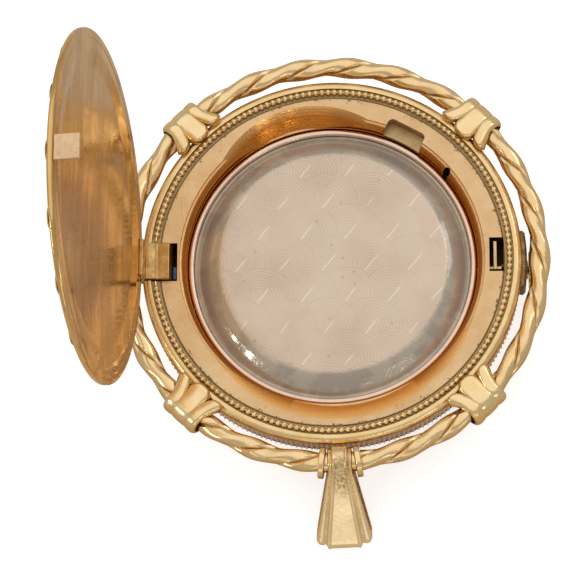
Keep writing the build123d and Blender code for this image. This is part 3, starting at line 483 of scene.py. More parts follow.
def turning_lines(tree, at_x=0.0, at_y=0.0, pitch=0.1):
    """Fine rings left by turning, about a centre."""
    place = add(tree, "VectorMath", surface_mm(tree), (at_x, at_y, 0), operation="SUBTRACT")[0]
    reach = span(*xyz(place)[:2])
    return add(tree, "TexNoise", None, reach, 1 / pitch, 3, 0.7, noise_dimensions="1D")[0]


def scoop_lines(tree):
    """Rings of the scoop, cut about its own centre."""
    return turning_lines(tree, scoop_x, scoop_y, 0.16)


def fed(shader, socket):
    """What already feeds one of a shader's sockets."""
    return shader.inputs[socket].links[0].from_socket


def make_seat_gold():
    """Matt on the flat and polished in the scoop, with brown spots along the outer edge, and painted shade
    down the hollows and the knife notch.
    """
    material = metal("seat_ring_gold", (0.76, 0.51, 0.27), (0.71, 0.45, 0.22), 0.12, 0.2, patch=2.0,
                     line_deep=1.5, speck=0.8, specks=0.3, grime_and_shade=0.9, grime_and_shade_reach=0.3,
                     relief=scoop_lines, relief_deep=0.018)
    tree = material.node_tree
    shader = tree.nodes["Principled BSDF"]
    parts = xyz(surface_mm(tree))
    flat = ramp(xyz(add(tree, "NewGeometry")["True Normal"])[2], 0.93, 0.985, 0, 1)
    feed(shader, "Roughness", reckon("ADD", fed(shader, "Roughness"), ramp(flat, 0, 1, 0, 0.16)))
    reach = case_reach(tree)
    spotted = reckon("GREATER_THAN", ramp(reach, 14.5, 15.1, 0.28, 0.47), noise(tree, 2.6, 5, 0.75))
    spotted = reckon("MAXIMUM", spotted, reckon("GREATER_THAN", reach, 15.02))
    # Painted shade: the polished hollows deepen from amber to dark orange brown towards their bottoms.
    hollow_with_painted_shade = mixed(ramp(parts[2], 7.42, 6.85, 0, 1), (0.76, 0.40, 0.13), (0.52, 0.17, 0.025))
    polished = mixed(flat, hollow_with_painted_shade, fed(shader, "Base Color"))
    stained = mixed(times(spotted, flat, 0.8), polished, (0.07, 0.035, 0.015))
    # Painted shade: the knife notch darkens towards its bottom, its walls more than its floor.
    notch_parts = xyz(add(tree, "VectorRotate", surface_mm(tree), None, None, -radians(notch_turn),
                          rotation_type="Z_AXIS")[0])
    across = reckon("LESS_THAN", reckon("ABSOLUTE", notch_parts[1]), notch_half + 0.06)
    beyond = reckon("GREATER_THAN", notch_parts[0], 12)
    notch = times(across, beyond, ramp(parts[2], 7.42, 7.3, 0, 0.75))
    feed(shader, "Base Color", mixed(notch, stained, mixed(flat, (0.22, 0.11, 0.03), (0.42, 0.31, 0.14))))
    return material


def frustum(at_x, at_y, foot_r, foot_z, top_r, top_z, sides=240):
    """Points and faces of a cone's lower part."""
    points = [(x, y, z) for radius, z in ((foot_r, foot_z), (top_r, top_z))
              for x, y in circle(radius, sides, at_x, at_y)]
    return points, ring_faces(2, sides)


def spun(x, y, angle):
    """Place in a plane, turned by an angle."""
    return x * cos(angle) - y * sin(angle), x * sin(angle) + y * cos(angle)


def block(x_from, x_to, y_from, y_to, z_from, z_to, turn=0.0, round_r=0.02):
    """Points and faces of a block with rounded edges, turned about the case axis."""
    corners = []
    left, right, near, far = x_from + round_r, x_to - round_r, y_from + round_r, y_to - round_r
    for quarter, (x, y) in enumerate(((right, far), (left, far), (left, near), (right, near))):
        for step in range(6):
            lean = pi / 2 * (quarter + step / 5)
            corners.append((x + round_r * cos(lean), y + round_r * sin(lean)))
    points = [(*spun(x, y, radians(turn)), z) for z in (z_from, z_to) for x, y in corners]
    return points, ring_faces(2, len(corners))


def carved(name, solid, cutters):
    """Points and faces of a solid with the cutters taken out of it."""
    forms = [placed(name, solid_mesh(name, *form)) for form in (solid, *cutters)]
    for cutter in forms[1:]:
        cut = forms[0].modifiers.new("cut", "BOOLEAN")
        cut.operation, cut.solver, cut.object = "DIFFERENCE", "EXACT", cutter
    mesh = forms[0].evaluated_get(bpy.context.evaluated_depsgraph_get()).to_mesh()
    shape = [tuple(vert.co) for vert in mesh.vertices], [tuple(face.vertices) for face in mesh.polygons]
    for form in forms:
        bpy.data.objects.remove(form)
    return shape


seat_low, seat_top, cut_over = 6.05, 7.45, 0.2
scoop_foot_r, scoop_slope = 7.4, 1.164
slope_x, slope_y, slope_foot_r, slope_run, slope_deep = 0.3, -1.9, 11.2, 1.35, 0.72
seat_outline = [(12.82, seat_low), (15.12, seat_low), (15.12, seat_top), (13.42, seat_top), (13.38, 7.3),
                (13.2, 7.24), (12.92, 6.72), (12.82, 6.66)]
vent_x, vent_y, vent_r = 10.15, 8.16, 0.34
cut_low, cut_top = seat_low - cut_over, seat_top + cut_over
vent = frustum(vent_x, vent_y, vent_r, seat_low - cut_over * 3, vent_r, cut_top, 32)
scoop = frustum(scoop_x, scoop_y, scoop_foot_r - cut_over * scoop_slope, cut_low,
                scoop_foot_r + (cut_top - seat_low) * scoop_slope, cut_top)
slope = frustum(slope_x, slope_y, slope_foot_r, seat_top - slope_deep,
                slope_foot_r + slope_run * 4 / 3, seat_top + slope_deep / 3)
notch = block(9.2, 14.1, -notch_half, notch_half, 6.25, cut_top, notch_turn, 0.45)
catch_slot = block(13.8, 15.06, -1.25, 1.85, cut_low, cut_top)
hinge_pocket = block(-16, -13.55, -pocket_half, pocket_half, cut_low, cut_top)
seat_points, seat_faces = carved("seat_ring_fine", turned(seat_outline),
                                 [scoop, slope, notch, catch_slot, vent, hinge_pocket])
bed_outline = [(12.77, 5.7), (13.3, 5.7), (13.3, 6.04), (12.84, 6.04), (12.77, 5.98)]
bed_points, bed_faces = carved("capsule_bed", turned(bed_outline), [vent])
seat_faces += shifted(bed_faces, len(seat_points))
seat_ring = finished("seat_ring", (seat_points + bed_points, seat_faces), make_seat_gold())
break_edges(seat_ring, 0.04, 2)

# Hinge, springs and catch
# The hinge pin is a steel wire through the band. The blued lift spring throws the cover open, and
# the steel catch spring stands in its slot and holds the cover's tab.
machined("hinge_pin", metal("pin_steel", (0.6, 0.58, 0.55), (0.45, 0.4, 0.34), 0.2, 0.35))
blued_steel = metal("blued_spring_steel", (0.09, 0.14, 0.22), (0.04, 0.06, 0.1), 0.25, 0.45, patch=1.2,
                    speck=0.5, specks=0.6)
machined("lift_spring", blued_steel, edge=0.1, segments=4)
# Painted shade: the catch spring darkens towards its foot, deep in its slot.
catch_steel = metal("catch_spring_metal", (0.68, 0.5, 0.26), (0.5, 0.36, 0.2), 0.2, 0.4, patch=1.0,
                    stain_and_shade=height_darkening(6.9, 6.2, 0.9))
machined("catch_spring", catch_steel)

# Back cover
# The back cover is a turned gold lid on a hinge. Inside it is brushed, with a rim, a step and a
# field. Raised leaves stand round its polished outside, and a catch tab and the hinge leaf are
# soldered inside.
cover_open = radians(98.7)
leaf_count, leaf_r, leaf_foot, leaf_long, leaf_wide, leaf_tall = 16, 14.1, 8.17, 1.05, 0.6, 0.2
leaf_steps, leaf_point, vein_deep, vein_sharp = 12, 0.8, 0.25, 5


def swung_open(points):
    """Points of the closed cover, turned about the hinge to where the cover stands open."""
    swung = [(spun(x - hinge_x, z - hinge_z, cover_open), y) for x, y, z in points]
    return [(hinge_x + across, y, hinge_z + rise) for (across, rise), y in swung]


cover_outline = softened([
    (0, 7.72, 0), (11.9, 7.72, 0.3), (13.1, 7.54, 0.2), (13.3, 7.5, 0.04), (14.1, 7.5, 0.02),
    (14.14, 7.53, 0.02), (14.22, 7.53, 0.02), (14.26, 7.5, 0.02), (14.95, 7.5, 0.1),
    (15.05, 7.62, 0.06), (15.05, 7.95, 0.08), (14.6, 8.17, 0.2), (11.9, 8.2, 0.1), (11.7, 8.14, 0.1),
    (11.4, 8.14, 0.1), (11.2, 8.2, 0.1), (0, 8.2, 0)])
cover_points, cover_faces = turned(cover_outline)


def drawn_noise(tree, shares, detail, roughness):
    """Noise that is drawn out along the piece."""
    place = add(tree, "VectorMath", surface_mm(tree), shares, operation="MULTIPLY")[0]
    return add(tree, "TexNoise", place, None, 1.0, detail, roughness)[0]


def cover_brushing(tree):
    """Long strokes left by polishing, all one way across the cover."""
    return drawn_noise(tree, (0.4, 0.06, 0.55), 3, 0.5)


def cover_stain(tree):
    """The strokes as faint darker streaks, with a few ragged cross marks."""
    band = drawn_noise(tree, (0.1, 0.35, 0.12), 6, 0.8)
    marks = reckon("ADD", ramp(cover_brushing(tree), 0.42, 0.62, 0, 0.22), ramp(band, 0.6, 0.66, 0, 0.15))
    return times(marks, reckon("GREATER_THAN", xyz(add(tree, "TexCoord")["Normal"])[0], 0))


cover_gold = metal("cover_gold", (0.76, 0.48, 0.19), (0.70, 0.41, 0.14), 0.09, 0.13, line_deep=0.4,
                   speck=1.6, specks=0.25, relief=cover_brushing, relief_deep=0.03,
                   stain_and_shade=cover_stain)
finished("back_cover", (swung_open(cover_points), cover_faces), cover_gold, "cover")
knuckle_gold = metal("worn_hinge_gold", (0.72, 0.47, 0.2), (0.5, 0.29, 0.1), 0.25, 0.42, patch=0.7,
                     line_deep=2.0, speck=0.35, specks=0.7, grime_and_shade=1.2)
machined("cover_knuckle", knuckle_gold, "cover", edge=0.08, segments=3)
tab_gold = metal("catch_tab_gold", (0.84, 0.60, 0.36), (0.76, 0.51, 0.29), 0.38, 0.5, patch=0.5,
                 line_deep=3.0, speck=0.25, specks=0.25)
machined("cover_catch_tab", tab_gold, "cover", edge=0.1, segments=3)


def sheet_faces(rows, width, first=0, closed=False):
    """Faces that join rows of points to a sheet, or to a tube where it is closed."""
    faces = []
    for row in range(rows if closed else rows - 1):
        here, there = first + row * width, first + (row + 1) % rows * width
        faces += [(here + column, here + column + 1, there + column + 1, there + column)
                  for column in range(width - 1)]
    return faces


def leaf_points():
    """Pointed leaves with a vein down the middle, in a ring on the cover's outside."""
    points, faces = [], []
    width = leaf_steps + 1
    for leaf in range(leaf_count):
        angle = 360 * leaf / leaf_count
        out, along = Vector(polar(1, angle, 0)), Vector(polar(1, angle + 90, 0))
        middle = Vector(polar(leaf_r, angle, leaf_foot))
        for side in (1, 0):
            first = len(points)
            for row in range(width):
                reach = 2 * row / leaf_steps - 1
                half = leaf_wide * (1 - reach * reach) ** leaf_point
                for column in range(width):
                    across = 2 * column / leaf_steps - 1
                    rise = sqrt(max(0, 1 - across * across)) * (1 - reach ** 4)
                    vein = vein_deep * max(0, 1 - abs(across) * vein_sharp)
                    height = side * leaf_tall * max(0, rise - vein)
                    points.append(middle + out * half * across + along * leaf_long * reach + upright * height)
            faces += sheet_faces(width, width, first)
    return swung_open(points), faces


leaf_gold = metal("leaf_gold", gold_colour, gold_shade, 0.12, 0.2, patch=1.5, grime_and_shade=1.2)
finished("cover_ornaments", leaf_points(), leaf_gold, "cover", "cover_leaves")

# Push piece
# The push piece is a curved bar of gold on the side of the case, cut with fine upright ribs and
# painted dark brown for the shade it lies in under the bezel. Its stem goes through the band and
# presses the catch spring.
push_r, push_inner_r, push_low, push_top, push_half = 17.1, 16.5, 4.65, 6.9, 2.68
push_ribs, push_rib_steps, push_rib_deep, push_round = 24, 6, 0.1, 0.12
stem_from, stem_to, stem_r, stem_z, stem_sides = 14.86, 16.55, 0.28, 4.95, 16


def push_points():
    """Curved bar with upright ribs on its outside."""
    reach = degrees(asin(push_half / push_r))
    steps = push_ribs * push_rib_steps
    points = []
    for step in range(steps + 1):
        angle = reach * (2 * step / steps - 1)
        inset = push_round * max(0, 1 - min(step, steps - step) / push_rib_steps)
        outer = push_r - (push_rib_deep * (0.5 - 0.5 * cos(2 * pi * step / push_rib_steps)) + inset)
        low, top = push_low + inset, push_top - inset
        for radius, z in ((push_inner_r, low), (outer - push_round, low), (outer, low + push_round),
                          (outer, top - push_round), (outer - push_round, top), (push_inner_r, top)):
            points.append(polar(radius, angle, z))
    faces = ring_faces(steps + 1, 6) + shifted(ring_faces(2, stem_sides), len(points))
    points += [(x, y, z) for x in (stem_from, stem_to)
               for y, z in circle(stem_r, stem_sides, 0, stem_z)]
    return points, faces


# Painted shade: the whole push piece is darkened to deep brown, as it lies in shade under the bezel.
shade_dark_push_gold = metal("shade_dark_push_piece", (0.38, 0.23, 0.10), (0.2, 0.12, 0.05), 0.35, 0.5, patch=0.6,
                  grime_and_shade=1.6, grime_and_shade_reach=0.25, speck=0.3, specks=0.5)
finished("push_piece", push_points(), shade_dark_push_gold, "push")

# Twisted wire frame
# The frame is two gold wires twisted together and bent to a ring round the case. Its ends go
# into two collars at the bail.
rope_r, rope_z, rope_bumps = 18.2, 6.9, 26
lobe_r, waist_r, crease_r, crease_half = 0.95, 0.73, 0.5, 0.3
strand_stations, strand_sides = 26, 22
bail_angle, rope_open = -87.9, 5.75


def strand_outline():
    """Half of the pair's section: a round back that dips to a crease on each side."""
    outline = []
    for side in range(strand_sides + 1):
        lean = pi * (side / strand_sides - 0.5)
        out = lobe_r * cos(lean)
        dip = max(0, 1 - out / crease_half) ** 2 * (1 - crease_r / waist_r)
        outline.append((out, waist_r * sin(lean) * (1 - dip)))
    return outline


def strand_points():
    """Two strands wound about each other along the ring."""
    points, faces = [], []
    start, end = bail_angle + rope_open, bail_angle + 360 - rope_open
    stations = round(rope_bumps * strand_stations * (end - start) / 360) + 1
    outline = strand_outline()
    for strand in (0, pi):
        first = len(points)
        for station in range(stations):
            angle = start + (end - start) * station / (stations - 1)
            twist = radians(angle) * rope_bumps / 2 + strand
            for out, across in outline:
                reach, rise = spun(out, across, twist)
                points.append(polar(rope_r + reach, angle, rope_z + rise))
        faces += shifted(ring_faces(stations, len(outline)), first)
    return points, faces


# Painted shade: the wires' sides turn deep amber and their creases dark brown, painted for shade and the warm
# light gold throws on gold.
rope_gold = metal("twisted_wire_gold", (0.91, 0.67, 0.36), (0.87, 0.61, 0.30), 0.17, 0.26, patch=2.2,
                  line_deep=0.6, speck=2.5, specks=0.3, grime_and_shade=1.3, grime_and_shade_reach=0.7,
                  dirt_and_shade=(0.22, 0.11, 0.03), side=(0.62, 0.34, 0.09))
finished("rope_frame", strand_points(), rope_gold, name="twisted_frame")

# Shell clasps
# Four shell clasps hold the twisted frame to the bezel. Each is a sheet of gold pressed to three
# rounded fingers, bent over the frame and closed beneath it.
clasp_angles = (45.0, 135.0, 226.6, 315.3)
clasp_wrap_r, clasp_sheet = 1.06, 0.26
clasp_tip_r, clasp_tip_z, clasp_top_z = 15.9, 7.68, rope_z + clasp_wrap_r
clasp_wrap_end = radians(-125)
tip_half, waist_half, waist_at = 2.72, 1.8, 2.5
middle_half, side_middle, side_half = 0.42, 0.72, 0.3
middle_tall, side_tall = 0.5, 0.52
finger_fade, closed_flare, tip_run, closed_run, row_crowding = 0.8, 0.15, 0.45, 0.2, 1.3
clasp_columns, clasp_rows = 72, 60


def clasp_path(past):
    """Radius, height and outward lean at a length along a clasp, from its tips round the frame."""
    flat = rope_r - clasp_tip_r
    if past < flat:
        climb, turn = clasp_top_z - clasp_tip_z, past / flat * pi / 2
        slope = climb * cos(turn) * pi / 2 / flat
        return clasp_tip_r + past, clasp_tip_z + climb * sin(turn), atan2(slope, 1) + pi / 2
    lean = pi / 2 - (past - flat) / clasp_wrap_r
    return rope_r + clasp_wrap_r * cos(lean), rope_z + clasp_wrap_r * sin(lean), lean


clasp_long = rope_r - clasp_tip_r + clasp_wrap_r * (pi / 2 - clasp_wrap_end)


def finger_at(across):
    """Roundness across the finger at a place on a clasp, where its tip starts, and its height."""
    if abs(across) < middle_half:
        off = abs(across) / middle_half
        crown = (1 - off ** 2.3) ** 0.55
        return crown, 0.7 * off ** 2.6, middle_tall
    off = min(1, abs(abs(across) - side_middle) / side_half)
    crown = (1 - off * off) ** 0.5
    return crown, 0.3 + 0.4 * off ** 2.4, side_tall


def rounded_end(past, run):
    """Share of the full height at a length from a rounded end."""
    return sqrt(max(0, 1 - max(0, 1 - past / run) ** 2))


def clasp_points(angle):
    """Both skins of a clasp, as rows from its finger tips to its closed end."""
    points = []
    tangent = Vector(polar(1, angle + 90, 0))
    for side in (1, 0):
        for column in range(clasp_columns + 1):
            across = 2 * column / clasp_columns - 1
            crown, tip, tall = finger_at(across)
            edge = (1 - abs(across) ** 12) ** 0.5
            for row in range(clasp_rows + 1):
                past = tip + (clasp_long - tip) * (row / clasp_rows) ** row_crowding
                radius, z, lean = clasp_path(past)
                narrow = 0.5 - 0.5 * cos(pi * min(1, past / waist_at))
                half = tip_half + (waist_half - tip_half) * narrow
                half += closed_flare * max(0, past - waist_at) / (clasp_long - waist_at)
                height = side * (clasp_sheet + tall * crown * (1 - finger_fade * narrow)) * edge
                height *= rounded_end(past - tip, tip_run) * rounded_end(clasp_long - past, closed_run)
                points.append(Vector(polar(radius + height * cos(lean), angle, z + height * sin(lean)))
                              + tangent * half * across)
    rows, faces = clasp_rows + 1, []
    layer = (clasp_columns + 1) * rows
    for start in (0, layer):
        faces += sheet_faces(clasp_columns + 1, rows, start)
    rim = [*range(0, layer, rows), *range(layer - rows + 1, layer), *range(layer - rows - 1, 0, -rows),
           *range(rows - 2, 0, -1)]
    for index, corner in enumerate(rim):
        after = rim[(index + 1) % len(rim)]
        faces.append((corner, after, after + layer, corner + layer))
    return points, faces


# Painted shade: the clasps' sides turn deep amber and their corners dark brown; the collars and the bail pin
# use this gold too.
clasp_gold = metal("clasp_gold", (0.94, 0.71, 0.39), (0.90, 0.64, 0.31), 0.16, 0.24, patch=2.0,
                   grime_and_shade=1.3, grime_and_shade_reach=0.6, dirt_and_shade=(0.26, 0.13, 0.03),
                   side=(0.68, 0.40, 0.11))
for clasp, angle in enumerate(clasp_angles, 1):
    finished(f"clasp_{clasp}", clasp_points(angle), clasp_gold, name=f"shell_clasp_{clasp}")

# Collars, pin and bail
# Two round collars close the ends of the twisted wires and carry a pin. The bail is a tapered
# gold strap folded to a loop over the pin, with a raised panel that is worn along its middle.
for collar in ("collar_left", "collar_right"):
    machined(collar, clasp_gold, edge=0.1, segments=3)
machined("bail_pin", clasp_gold)


def panel_wear(tree):
    """Speckled rubbing on the upper part of the panel."""
    parts = xyz(surface_mm(tree))
    middle = ramp(reckon("ABSOLUTE", reckon("SUBTRACT", parts[0], 0.75)), 0.5, 0.85, 1, 0)
    above, below = ramp(parts[1], -17.7, -18.3, 0, 1), ramp(parts[1], -21.4, -20.2, 0, 1)
    return times(ramp(noise(tree, 4.5, 4, 0.7), 0.4, 0.62, 0.1, 0.75), middle, above, below)


bail_gold = metal("bail_gold", (0.94, 0.72, 0.42), (0.90, 0.66, 0.34), 0.16, 0.25, patch=1.6,
                  line_deep=0.6, speck=0.2, specks=0.08, grime_and_shade=1.1, stain_and_shade=panel_wear,
                  dirt_and_shade=(0.24, 0.15, 0.05))
bail_hang, bail_eye_r, bail_inner_end, bail_inner_half, bail_sheet = 43.5, 0.95, 7.15, 0.6, 0.5
bail_half_start, bail_half_grow, panel_half_start, panel_half_grow = 1.05, 0.205, 0.86, 0.112
panel_rise, panel_past, panel_bevel, panel_bead = 0.2, 0.2, 0.3, 0.07
flange_crown, flange_edge, flange_corner = 0.08, 0.2, 0.6
bead_half, edge_drop, loop_thinned, edge_kept = 0.22, 0.22, 0.24, 0.12
thin_from, thin_run, flare_from = 0.5, 4.0, 0.45
bail_columns, front_steps, loop_steps, lip_steps, end_steps = 88, 44, 24, 7, 6


def bail_stations():
    """Places along the loop's inside, as length from the pin, height and the way that it faces."""
    end, half = bail_inner_end, bail_inner_half
    lean = pi / 2 - atan2(bail_eye_r - half, end)
    front = [end * (1 - step / front_steps) for step in range(front_steps)]
    heights = [bail_eye_r - (bail_eye_r - half) * along / end for along in front]
    stations = [(along, height, lean) for along, height in zip(front, heights)]
    for step in range(loop_steps + 1):
        turn = lean + (2 * pi - 2 * lean) * step / loop_steps
        stations.append((bail_eye_r * cos(turn), bail_eye_r * sin(turn), turn))
    stations += [(along, -height, -lean) for along, height in zip(reversed(front), reversed(heights))]
    stations += [(end, -half, -lean * (1 - step / lip_steps)) for step in range(1, lip_steps)]
    stations += [(end, half * (2 * step / end_steps - 1), 0.0) for step in range(end_steps + 1)]
    return stations + [(end, half, lean * step / lip_steps) for step in range(1, lip_steps)]


def smooth(value):
    """Share from 0 to 1 with soft ends."""
    share = max(0, min(1, value))
    return share * share * (3 - 2 * share)


def bail_thickness(side, half, panel_half, drop):
    """Sheet thickness and panel share at a place across the bail."""
    panel = smooth((panel_half - side) / panel_bevel)
    bead = panel_bead * max(0, 1 - ((side - panel_half + panel_bevel) / bead_half) ** 2) ** 2
    flange = max(0, min(1, (side - panel_half) / (half - panel_half)))
    crown = flange_crown * 4 * flange * (1 - flange)
    edge = max(0, (side - half + flange_edge) / flange_edge)
    return bail_sheet + bead + crown - drop * edge * edge, panel


def bail_points():
    """Both skins of the folded strap and its two edges. It is thinner over the pin, to clear the bezel."""
    hang, swing = radians(bail_hang), radians(bail_angle + 90)
    stations = bail_stations()
    outer, inner = [], []
    for along, height, lean in stations:
        reach = max(0, along)
        half = bail_half_start + bail_half_grow * max(0, reach - flare_from)
        panel_half = panel_half_start + panel_half_grow * reach
        thinned = 1 - smooth((reach - thin_from) / thin_run)
        for column in range(bail_columns + 1):
            across = half * (2 * column / bail_columns - 1)
            thick, panel = bail_thickness(abs(across), half, panel_half, edge_drop - edge_kept * thinned)
            thick += panel * (panel_rise + panel_past * max(0, cos(lean))) - loop_thinned * thinned
            corner = max(0, (abs(across) - half + flange_corner) / flange_corner)
            forward = thick * cos(lean)
            if forward > 0:
                forward *= sqrt(max(0, 1 - corner * corner))
            outer.append((across, along + forward, height + thick * sin(lean)))
            inner.append((across, along, height))
    points = []
    for across, along, height in outer + inner:
        y, z = spun(-along, height, hang)
        points.append((*spun(across, y - rope_r, swing), z + rope_z))
    width, count = bail_columns + 1, len(stations)
    layer = width * count
    faces = sheet_faces(count, width, 0, True) + sheet_faces(count, width, layer, True)
    for station in range(count):
        here, there = station * width, (station + 1) % count * width
        for edge in (0, bail_columns):
            faces.append((here + edge, there + edge, layer + there + edge, layer + here + edge))
    return points, faces


finished("bail", bail_points(), bail_gold, "bail_loop")

# Capsule
# The capsule holds the movement. Its cup and its pressed back are pale nickel alloy. The back's
# field is spotted with overlapping circles of fine grain, and its sloped border is tarnished.
cup_outline = softened([
    (12.17, 1.0, 0), (12.72, 1.0, 0), (12.72, 6.0, 0.3), (12.17, 6.0, 0.24)], arc=6)
capsule_metal = metal("capsule_alloy", (0.84, 0.63, 0.50), (0.78, 0.56, 0.42), 0.14, 0.22, patch=2.4,
                      line_deep=0.6, speck=0.9, specks=0.2)
finished("capsule_cup", turned(cup_outline), capsule_metal)
circle_across, circle_down, circle_r, circle_pitch = 3.8, 2.9, 2.75, 0.26
field_r = 10.1


def make_circle_grain():
    """Rows of overlapping circles of fine rings, each over the last, with a painted highlight streak through
    each circle.
    """
    tree, takes, gives = effect("circle_grain", {"Across": circle_across, "Down": circle_down,
                                                 "Radius": circle_r, "Pitch": circle_pitch},
                                ("Height", "Painted Highlight", "Reach"))
    parts = xyz(surface_mm(tree))
    wobble = noise(tree, 0.35, 2)
    x = reckon("MULTIPLY_ADD", wobble, 0.8, parts[0])
    y = reckon("MULTIPLY_ADD", wobble, 0.5, parts[1])
    best_reach, best_highlight_along = 99.0, 0.0
    row_at = reckon("FLOOR", reckon("DIVIDE", y, takes["Down"]))
    for row_step, column_step in [(row, column) for row in (1, 0, -1) for column in (1, 0, -1)]:
        row = reckon("ADD", row_at, row_step)
        shift = times(reckon("PINGPONG", row, 1), 0.5)
        column = reckon("SUBTRACT", reckon("DIVIDE", x, takes["Across"]), shift)
        column = reckon("ADD", reckon("ROUND", column), column_step)
        off_x = reckon("SUBTRACT", x, times(reckon("ADD", column, shift), takes["Across"]))
        off_y = reckon("SUBTRACT", y, times(row, takes["Down"]))
        reach = span(off_x, off_y)
        inside = reckon("LESS_THAN", reach, takes["Radius"])
        highlight_line = reckon("ABSOLUTE", reckon("SUBTRACT", times(off_x, 0.78), times(off_y, 0.62)))
        best_reach = add(tree, "Mix", inside, None, best_reach, reach)[0]
        best_highlight_along = add(tree, "Mix", inside, None, best_highlight_along, highlight_line)[0]
    wave = reckon("SINE", times(reckon("DIVIDE", best_reach, takes["Pitch"]), 2 * pi))
    feed(gives, "Height", reckon("MULTIPLY_ADD", wave, 0.5, 0.5))
    ending = reckon("MULTIPLY_ADD", noise(tree, 0.22, 2), 2.4, reckon("SUBTRACT", best_reach, 1.2))
    feed(gives, "Painted Highlight", times(ramp(best_highlight_along, 0.015, 0.08, 1, 0), ramp(ending, 0.5, 1.1, 1, 0)))
    feed(gives, "Reach", best_reach)
    return tree


circle_group = make_circle_grain()


def make_back_metal():
    """Champagne alloy, circle grained on the field and tarnished on the sloped border, with painted highlight
    streaks on the field.
    """
    material = metal("capsule_back_alloy", (0.68, 0.54, 0.41), (0.63, 0.49, 0.38), 0.26, 0.34,
                     patch=5.0, speck=1.1, specks=0.22, grime_and_shade=0.5)
    tree = material.node_tree
    shader = tree.nodes["Principled BSDF"]
    grain = placed_group(tree, circle_group)
    field = ramp(case_reach(tree), field_r - 0.1, field_r + 0.05, 1, 0)
    border = reckon("SUBTRACT", 1, field)
    tarnish = mixed(ramp(noise(tree, 0.3, 5, 0.6), 0.46, 0.53, 0, 1), (0.55, 0.47, 0.36), (0.45, 0.38, 0.31))
    greyed = mixed(border, fed(shader, "Base Color"), tarnish)
    seam = times(ramp(grain["Reach"], circle_r - 0.16, circle_r, 0, 1), field)
    shown = times(field, ramp(noise(tree, 0.16, 2), 0.4, 0.6, 0.08, 0.34))
    line = reckon("MAXIMUM", times(reckon("POWER", grain["Height"], 3), shown), times(seam, 0.18))
    ringed = mixed(line, greyed, (0.36, 0.27, 0.22))
    # Painted highlight: a pale slanted streak through each circle stands in for the light that its fine rings
    # catch.
    feed(shader, "Base Color", mixed(times(grain["Painted Highlight"], field, 0.55), ringed, (0.95, 0.84, 0.68)))
    rings = add(tree, "Bump", 0.4, 0.008 * mm, None, times(grain["Height"], field))[0]
    feed(fed(shader, "Normal").node, "Normal", rings)
    feed(shader, "Roughness", add(tree, "Mix", border, None, fed(shader, "Roughness"), 0.07)[0])
    feed(shader, "Metallic", ramp(border, 0, 1, 1, 0.3))
    return material


back_outline = softened([
    (0, 6.6, 0), (9.6, 6.6, 0.2), (11.79, 5.5, 0.1), (12.14, 5.5, 0), (12.14, 5.6, 0.03),
    (11.9, 5.62, 0.12), (10.4, 6.75, 0.6), (9.6, 6.9, 0.3), (0, 6.9, 0)], arc=7)
finished("capsule_back", turned(back_outline), make_back_metal())

# Crown, stem and pendant tube
# The crown is fluted gold on a steel stem. The stem runs in a short gold tube, which is soldered
# to the case, and ends at the winding wheels.
crown_gold = metal("crown_gold", gold_colour, gold_shade, 0.14, 0.26, patch=1.5, grime_and_shade=1.2)
machined("crown", crown_gold, "stem")
machined("pendant_tube", crown_gold, edge=0.08)
stem_steel = metal("polished_steel", (0.6, 0.6, 0.62), (0.5, 0.5, 0.52), 0.12, 0.22)
machined("winding_stem", stem_steel, "stem", edge=0.04)

# Dial and hands
# The dial is cream enamel on brass, with applied gold batons and a printed minute track. The
# hands are blued steel.


def make_enamel():
    """Cream enamel, a little uneven, with sixty printed minute marks near its edge."""
    material, shader = new_material("cream_enamel")
    tree = material.node_tree
    fix(shader, Coat_Weight=0.6)
    parts = xyz(surface_mm(tree))
    reach = case_reach(tree)
    from_mark = reckon("PINGPONG", times(reckon("ARCTAN2", parts[1], parts[0]), 30 / pi), 0.5)
    near_mark = reckon("LESS_THAN", times(from_mark, reach), 0.7)
    track = times(reckon("GREATER_THAN", reach, 11.55), reckon("LESS_THAN", reach, 11.9))
    speckle = noise(tree, 1.5, 4)
    cream = mixed(speckle, (0.83, 0.79, 0.68), (0.88, 0.85, 0.76))
    feed(shader, "Base Color", mixed(times(near_mark, track), cream, (0.02, 0.02, 0.025)))
    feed(shader, "Roughness", ramp(speckle, 0, 1, 0.22, 0.36))
    return material


machined("dial", make_enamel(), edge=0.03)
machined("dial_markers", blued_steel, edge=0.04)
machined("hour_hand", blued_steel, "hour", edge=0.02)
machined("minute_hand", blued_steel, "centre", edge=0.02)

# Movement
# The movement lies sealed in the capsule: nickel plates and bridges with brushed stripes, gilt
# wheels, steel pinions, winding wheels and levers, and a gilt balance.


def plate_stripes(tree):
    """Broad brushed stripes, as on a finished bridge."""
    parts = xyz(surface_mm(tree))
    return reckon("PINGPONG", times(reckon("ADD", parts[0], parts[1]), 1.1), 1)


striped_nickel = metal("striped_nickel", (0.7, 0.68, 0.63), (0.6, 0.58, 0.52), 0.2, 0.3, patch=4.0,
                       relief=plate_stripes, relief_deep=0.02)
gilt_brass = metal("gilt_wheel_brass", (0.8, 0.6, 0.25), (0.7, 0.48, 0.18), 0.2, 0.3, patch=1.5,
                   relief=turning_lines, relief_deep=0.003)
movement_finish = {"nickel_plate": striped_nickel, "gilt_brass": gilt_brass, "steel": stem_steel,
                   "blued_steel": blued_steel}
for part in frame["record"]["subparts"]:
    if part["node"] not in dressed:
        for finish in frame["nodes"][part["node"]].material_slots:
            finish.material = movement_finish[part["material_slot"]]

# Table, light and camera
# The watch lies on a plain pale table under soft studio light. The camera stands where the
# photograph was taken from.
table_mesh = bpy.data.meshes.new("table")
table_mesh.from_pydata([(-2, -2, 0), (2, -2, 0), (2, 2, 0), (-2, 2, 0)], [], [(0, 1, 2, 3)])
placed("table", table_mesh)
paper, paper_shader = new_material("pale_paper")
seen = add(paper.node_tree, "LightPath")
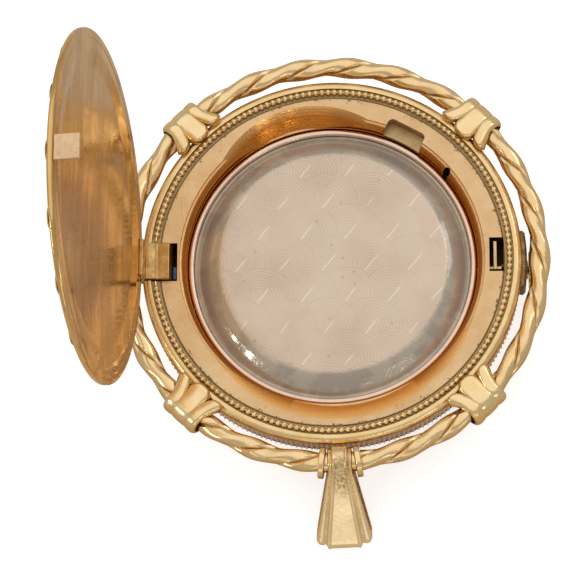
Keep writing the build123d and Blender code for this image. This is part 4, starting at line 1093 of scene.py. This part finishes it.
# Painted reflection: glossy rays see the table as a darker warm grey, so the gold reflects a dim table, while
# the camera sees it pale and glowing.
feed(paper_shader, "Base Color", mixed(seen["Is Glossy Ray"], (0.93, 0.93, 0.93), (0.74, 0.68, 0.60)))
feed(paper_shader, "Emission Color", mixed(seen["Is Camera Ray"], (0, 0, 0), (1, 1, 1)))
fix(paper_shader, Roughness=0.9, Emission_Strength=0.55)
table_mesh.materials.append(paper)

world = bpy.data.worlds.new("studio")
bpy.context.scene.world = world
world.use_nodes = True
fix(world.node_tree.nodes["Background"], Color=(1, 0.99, 0.97, 1), Strength=0.5)


def softbox(name, place, wide, tall, power):
    """Rectangular soft light that points at the watch."""
    light = bpy.data.lights.new(name, "AREA")
    light.shape, light.size, light.size_y, light.energy = "RECTANGLE", wide, tall, power
    lamp = placed(name, light)
    lamp.location = place
    lamp.rotation_euler = (-Vector(place)).to_track_quat("-Z", "Y").to_euler()


softbox("overhead_box", (-0.04, 0.2, 0.62), 1.1, 1.1, 1.9)
softbox("front_box", (-0.03, -0.57, 0.18), 0.3, 0.2, 0.11)
softbox("front_right_panel", (0.34, -0.42, 0.27), 0.1, 0.1, 0.09)
softbox("front_spot", (0.17, -0.5, 0.26), 0.05, 0.05, 0.05)
softbox("left_window", (-0.47, -0.18, 0.22), 0.03, 0.09, 0.16)
softbox("left_window_two", (-0.41, -0.27, 0.25), 0.03, 0.09, 0.16)
softbox("right_box", (0.5, 0.3, 0.5), 0.25, 0.25, 0.3)

bpy.context.scene.view_settings.view_transform = "Standard"

view_data = bpy.data.cameras.new("photo_view")
view_data.sensor_width, view_data.lens, view_data.clip_start = 36, 231.5, 0.01
view_camera = placed("photo_view", view_data)
view_place = Vector((0.0125, -0.10128, 0.31534))
view_back = Vector((0.0504, -0.3050, 0.9510)).normalized()
view_up = Vector((0.0144, 0.9524, 0.3047))
view_right = view_up.cross(view_back).normalized()
view_up = view_back.cross(view_right)
view_turn = Matrix((view_right, view_up, view_back)).transposed().to_4x4()
view_camera.matrix_world = Matrix.Translation(view_place) @ view_turn
bpy.context.scene.camera = view_camera
